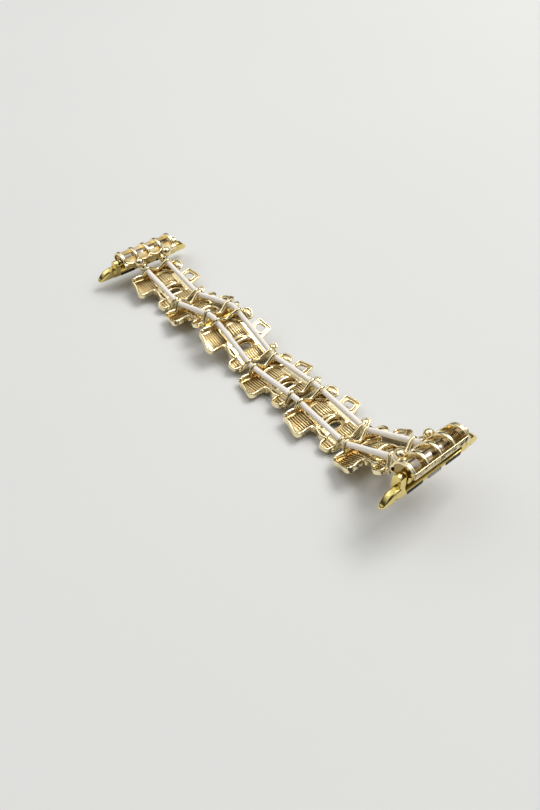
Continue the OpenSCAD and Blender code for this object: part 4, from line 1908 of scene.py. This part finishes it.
@dataclass
class SlideLug:
    """A slide-in lug with ears, fin-shaped ends, rubber pads and a sprung lock button.

    Sizes in mm, the pin axis along Y through the origin, X away from it.

    Args:
        layout: The lugs' places.
        finishes: The strap's finishes.
        length: Length over both fins.
        near: Distance of the crossbar's near edge from the pin axis.
        far: Distance of its far edge.
        deep_face: Height of the face on the outer side in wear.
        skin_face: Height of the face on the skin side in wear.
        nose: Radius of the far edge.
        fin_low: Distance of a fin's root from the pin axis.
        ear_r: Radius of an ear.
        ear_in: Distance of an ear's inner side from the middle line.
        ear_out: Distance of its outer side.
        pad_len: Length of a rubber pad.
        pad_pos: Distance of a pad's middle from the middle line.
        button_len: Length of the lock button.
        button_depth: Depth of the button's seat.
        fit: Gap round the button.
        proud: How far pads and button stand out of the faces.
    """

    layout: StrapLayout
    finishes: Finishes
    length: float = 24.0
    near: float = 2.65
    far: float = 3.75
    deep_face: float = -0.375
    skin_face: float = 1.375
    nose: float = 0.35
    fin_low: float = 1.2
    ear_r: float = 0.95
    ear_in: float = 6.95
    ear_out: float = 8.3
    pad_len: float = 3.7
    pad_pos: float = 4.75
    button_len: float = 3.2
    button_depth: float = 1.15
    fit: float = 0.07
    proud: float = 0.12

    @property
    def pad_low(self) -> float:
        """Distance of a pad's near edge from the pin axis."""
        return self.near + 0.2

    @property
    def pad_high(self) -> float:
        """Distance of a pad's far edge from the pin axis."""
        return self.far - 0.2

    def section(self) -> np.ndarray:
        """The crossbar's outline in X and Z: nearly square near edge, rounded far edge.

        Returns:
            Its points, in mm.
        """
        low, high, r, small = self.deep_face, self.skin_face, self.nose, 0.1
        upper = [(self.far - r + r * math.cos(a), high - r + r * math.sin(a))
                 for a in round_steps(0, 90, 6)]
        lower = [(self.far - r + r * math.sin(a), low + r - r * math.cos(a))
                 for a in round_steps(0, 90, 6)]
        near = [(self.near + small, high), (self.near, high - small),
                (self.near, low + small), (self.near + small, low)]
        return np.array(upper + near + lower)

    def fin(self, s: Shells) -> None:
        """One end: a fin that narrows from the ear to a point at the far edge.

        Args:
            s: The shells that it adds to.
        """
        start, end = self.ear_out - 0.25, self.length / 2
        middle, half = (self.deep_face + self.skin_face) / 2, (self.skin_face - self.deep_face) / 2
        turn = round_steps(0, 360, 41)[:-1]
        across = np.sign(np.cos(turn)) * abs(np.cos(turn)) ** 0.6
        through = np.sign(np.sin(turn)) * abs(np.sin(turn)) ** 0.6
        rings = []
        for u in np.sin(np.linspace(0, math.pi / 2, 30)):
            low = self.fin_low + (self.far - self.fin_low) * u**3
            blunt = math.sqrt(max(1 - u**12, 0.01))
            wide = max((self.far - low) / 2, 0.42 * blunt)
            thick = half * (1 - 0.35 * u**3) * blunt
            rings.append(np.c_[self.far - wide + wide * across,
                               np.full(40, start + u * (end - start)),
                               middle + thick * through])
        s.rings(rings)

    def body(self) -> Shells:
        """The shells that are fused: crossbar, ears, posts and fins.

        Returns:
            Overlapping closed shells.
        """
        s = Shells()
        half = Shells()
        s.plank(self.section(), -self.ear_out, self.ear_out)
        r = self.ear_r
        half.plank(circle(r, 40), self.ear_in, self.ear_out)
        half.plank(np.array([(0.0, -r), (1.9, -r), (self.near + 0.1, self.deep_face),
                             (self.near + 0.1, self.skin_face), (1.9, r + 0.1), (0.0, r)]),
                   self.ear_in, self.ear_out)
        self.fin(half)
        half.mirrored()
        s.add(half.points, half.faces)
        return s

    def openings(self) -> Shells:
        """What is cut from the lug: the button's seat, the recess behind it and the holes.

        Returns:
            The cutters.
        """
        s = Shells()
        low, high, half = self.pad_low, self.pad_high, self.button_len / 2 + self.fit
        s.block((low, -half, self.skin_face - self.button_depth), (high, half, self.skin_face + 1))
        s.block((low, 0.5 - half, self.deep_face - 1), (high, half - 0.5, self.deep_face + 0.18))
        for sign in (-1, 1):
            hole = Shells()
            hole.lathe([(0.01, -0.35), (0.2, -0.35), (0.2, 0.3), (0.01, 0.3)], 20, closed=True)
            s.add(hole.moved(1.2, sign * self.ear_out, 0.15).points, hole.faces)
            for p, y in ((2.85, 9.15), (3.3, 8.7), (3.25, 10.0)):
                s.ball((p, sign * y, self.skin_face + 0.03), (0.17, 0.2, 0.22), 8)
        return s

    def trim(self) -> Shells:
        """The flutes beside the ears.

        Returns:
            Their shells, at both ends.
        """
        s = Shells()
        for p, y in ((1.5, 8.5), (1.8, 8.72), (2.12, 8.98)):
            s.tube([(p, y - 0.12, self.deep_face + 0.3), (p - 0.03, y - 0.02, 0.5),
                    (p, y - 0.12, self.skin_face - 0.3)], 0.15, 8)
        return s.mirrored()

    def rounded_block(self, low: Point, high: Point, bevel: float, name: str) -> bpy.types.Mesh:
        """A block with beveled, rounded edges.

        Args:
            low: Its lowest corner, in mm.
            high: Its highest corner, in mm.
            bevel: Width of the bevel, in mm.
            name: The mesh's name.

        Returns:
            Its mesh.
        """
        s = Shells()
        s.block(low, high)
        obj = scratch_object(s.mesh(name, None))
        soft = obj.modifiers.new("edges", "BEVEL")
        soft.width = bevel
        soft.segments = 3
        made = evaluated_mesh(obj, name)
        made.shade_smooth()
        made.set_sharp_from_angle(angle=math.radians(50))
        return made

    def build(self) -> None:
        """Makes one lug and puts it at both ends."""
        fused = carve(fuse(self.body(), "lug", 2), self.openings())
        casting = join("lug", fused, self.trim().mesh("lug_trim"))
        mark_hollow_shade(casting)
        low, high = self.deep_face - self.proud, self.skin_face + self.proud
        pads = join("pads", *(self.rounded_block(
            (self.pad_low, y - self.pad_len / 2, low), (self.pad_high, y + self.pad_len / 2, high),
            0.1, "pad") for y in (-self.pad_pos, self.pad_pos)))
        button = self.rounded_block(
            (self.pad_low + 0.06, -self.button_len / 2, self.skin_face - 0.8),
            (self.pad_high - 0.06, self.button_len / 2, high + 0.1), 0.15, "button")
        mark_hollow_shade(button)
        for side in Side:
            place, body = self.layout.lug(side), f"lug_{side.value}"
            piece = show(casting, f"slide_lug_{side.value}", place, self.finishes.lug)
            mount(piece, body, body)
            rubber = show(pads, f"lug_pads_{side.value}", place, self.finishes.rubber)
            mount(rubber, body, f"pads_{side.value}")
            press = show(button, f"lock_button_{side.value}", place, self.finishes.steel)
            mount(press, f"button_{side.value}", f"button_{side.value}")
        LOG.info("lugs: %d faces each", len(casting.polygons))


@dataclass(frozen=True)
class Lamp:
    """A square soft lamp that looks at the strap's middle.

    Args:
        name: The lamp's name.
        at: Its place, in metres.
        size: Length of its side, in metres.
        watts: Its power.
        colour: Colour of its light.
    """

    name: str
    at: Point
    size: float
    watts: float
    colour: Point

    def hang(self) -> None:
        """Adds the lamp to the scene."""
        data = bpy.data.lights.new(self.name, "AREA")
        data.size = self.size
        data.energy = self.watts
        data.color = self.colour
        obj = bpy.data.objects.new(self.name, data)
        obj.location = self.at
        obj.rotation_euler = (-Vector(self.at)).to_track_quat("-Z", "Y").to_euler()
        bpy.context.scene.collection.objects.link(obj)


@dataclass
class Studio:
    """Camera, floor and soft lights. Lengths in metres.

    Args:
        finishes: The strap's finishes.
        eye: The camera's place.
        look: The way it looks.
        right: The picture's right-hand way.
        focal_px: Its focal length in the picture's pixels.
        long_side_px: The picture's long side in pixels.
        sensor: The long side on the sensor, in mm.
        half_floor: Half of the tabletop's width.
        wall_top: Share of the sky's height where the walls end.
        ceiling: Share where the full ceiling starts.
        wall_light: Light of the walls.
        ceiling_light: Light of the ceiling.
        corner: Where the dark corner behind the camera starts and is full, as cosines.
        corner_light: What is left of the light there.
        lamps: The lamps.
    """

    finishes: Finishes
    eye: Point = (0.07968, -0.06856, 0.09738)
    look: Point = (-0.5205, 0.4655, -0.7158)
    right: Point = (0.6443, 0.7642, 0.0284)
    focal_px: float = 700.0
    long_side_px: float = 810.0
    sensor: float = 36.0
    half_floor: float = 3.0
    wall_top: float = 0.3
    ceiling: float = 0.8
    wall_light: Point = (0.06, 0.055, 0.048)
    ceiling_light: Point = (0.96, 0.965, 0.965)
    corner: Point = (0.80, 0.93)
    corner_light: float = 0.05
    lamps: tuple[Lamp, ...] = (
        Lamp("window", (0.02, 0.50, 0.78), 0.45, 4.2, (1.0, 0.995, 0.98)),
        Lamp("fill", (-0.6, -0.25, 0.7), 0.7, 1.0, (0.96, 0.98, 1.0)),
    )

    def camera(self) -> None:
        """The photograph's camera."""
        data = bpy.data.cameras.new("camera")
        data.sensor_width = self.sensor
        data.lens = self.focal_px / self.long_side_px * self.sensor
        data.clip_start = 0.005
        obj = bpy.data.objects.new("camera", data)
        back = -Vector(self.look).normalized()
        across = Vector(self.right).normalized()
        up = back.cross(across).normalized()
        across = up.cross(back)
        turn = Matrix((across, up, back)).transposed()
        obj.matrix_world = Matrix.Translation(self.eye) @ turn.to_4x4()
        bpy.context.scene.collection.objects.link(obj)
        bpy.context.scene.camera = obj

    def floor(self) -> None:
        """A wide pale tabletop."""
        s = Shells()
        half = self.half_floor
        s.block((-half, -half, -0.02), (half, half, 0.0))
        obj = show(s.mesh("tabletop", None), "tabletop", None, self.finishes.floor)

    def world(self) -> None:
        """A room with a bright ceiling, dim walls and a dark corner behind the camera."""
        world = bpy.data.worlds.new("room")
        world.use_nodes = True
        bpy.context.scene.world = world
        n = Nodes(world.node_tree)
        background = next(x for x in world.node_tree.nodes if x.type == "BACKGROUND")
        place = n.new("ShaderNodeTexCoord")
        split = n.new("ShaderNodeSeparateXYZ")
        n.wire(place.outputs["Generated"], split.inputs["Vector"])
        sky = n.ramp(split.outputs["Z"], self.wall_top, self.ceiling, self.wall_light,
                     self.ceiling_light)
        corner = n.new("ShaderNodeVectorMath", operation="DOT_PRODUCT")
        n.wire(place.outputs["Generated"], corner.inputs[0])
        corner.inputs[1].default_value = tuple(-Vector(self.look).normalized())
        dark = n.ramp(corner.outputs["Value"], *self.corner, (1.0,) * 3, (self.corner_light,) * 3)
        mix = n.new("ShaderNodeMix", data_type="RGBA", blend_type="MULTIPLY")
        mix.inputs["Factor"].default_value = 1.0
        n.wire(sky, mix.inputs[6])
        n.wire(dark, mix.inputs[7])
        n.wire(mix.outputs[2], background.inputs["Color"])
        background.inputs["Strength"].default_value = 1.0

    def build(self) -> None:
        """Sets up the whole studio."""
        self.camera()
        self.floor()
        self.world()
        for lamp in self.lamps:
            lamp.hang()
        bpy.context.scene.view_settings.view_transform = "Standard"
        LOG.info("studio ready")


def dress_hidden_nodes(frame: dict, finishes: Finishes) -> None:
    """Gives the crimps and springs, which stay as built, their metal.

    Args:
        finishes: The finishes of the strap.
    """
    for name, node in frame["nodes"].items():
        if name.startswith(("crimps", "spring")):
            node.data.materials.clear()
            node.data.materials.append(finishes.steel)


def main() -> None:
    """Builds the strap round the frame."""
    logging.basicConfig(level=logging.INFO, format="%(message)s")
    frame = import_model()
    finishes = Finishes.build()
    Studio(finishes).build()
    layout = StrapLayout(frame)
    CastLink(layout, finishes).build()
    CordRun(layout, finishes).build()
    HoopBarrel(layout, finishes).build()
    SlideLug(layout, finishes).build()
    dress_hidden_nodes(frame, finishes)


if __name__ == "__main__":
    main()
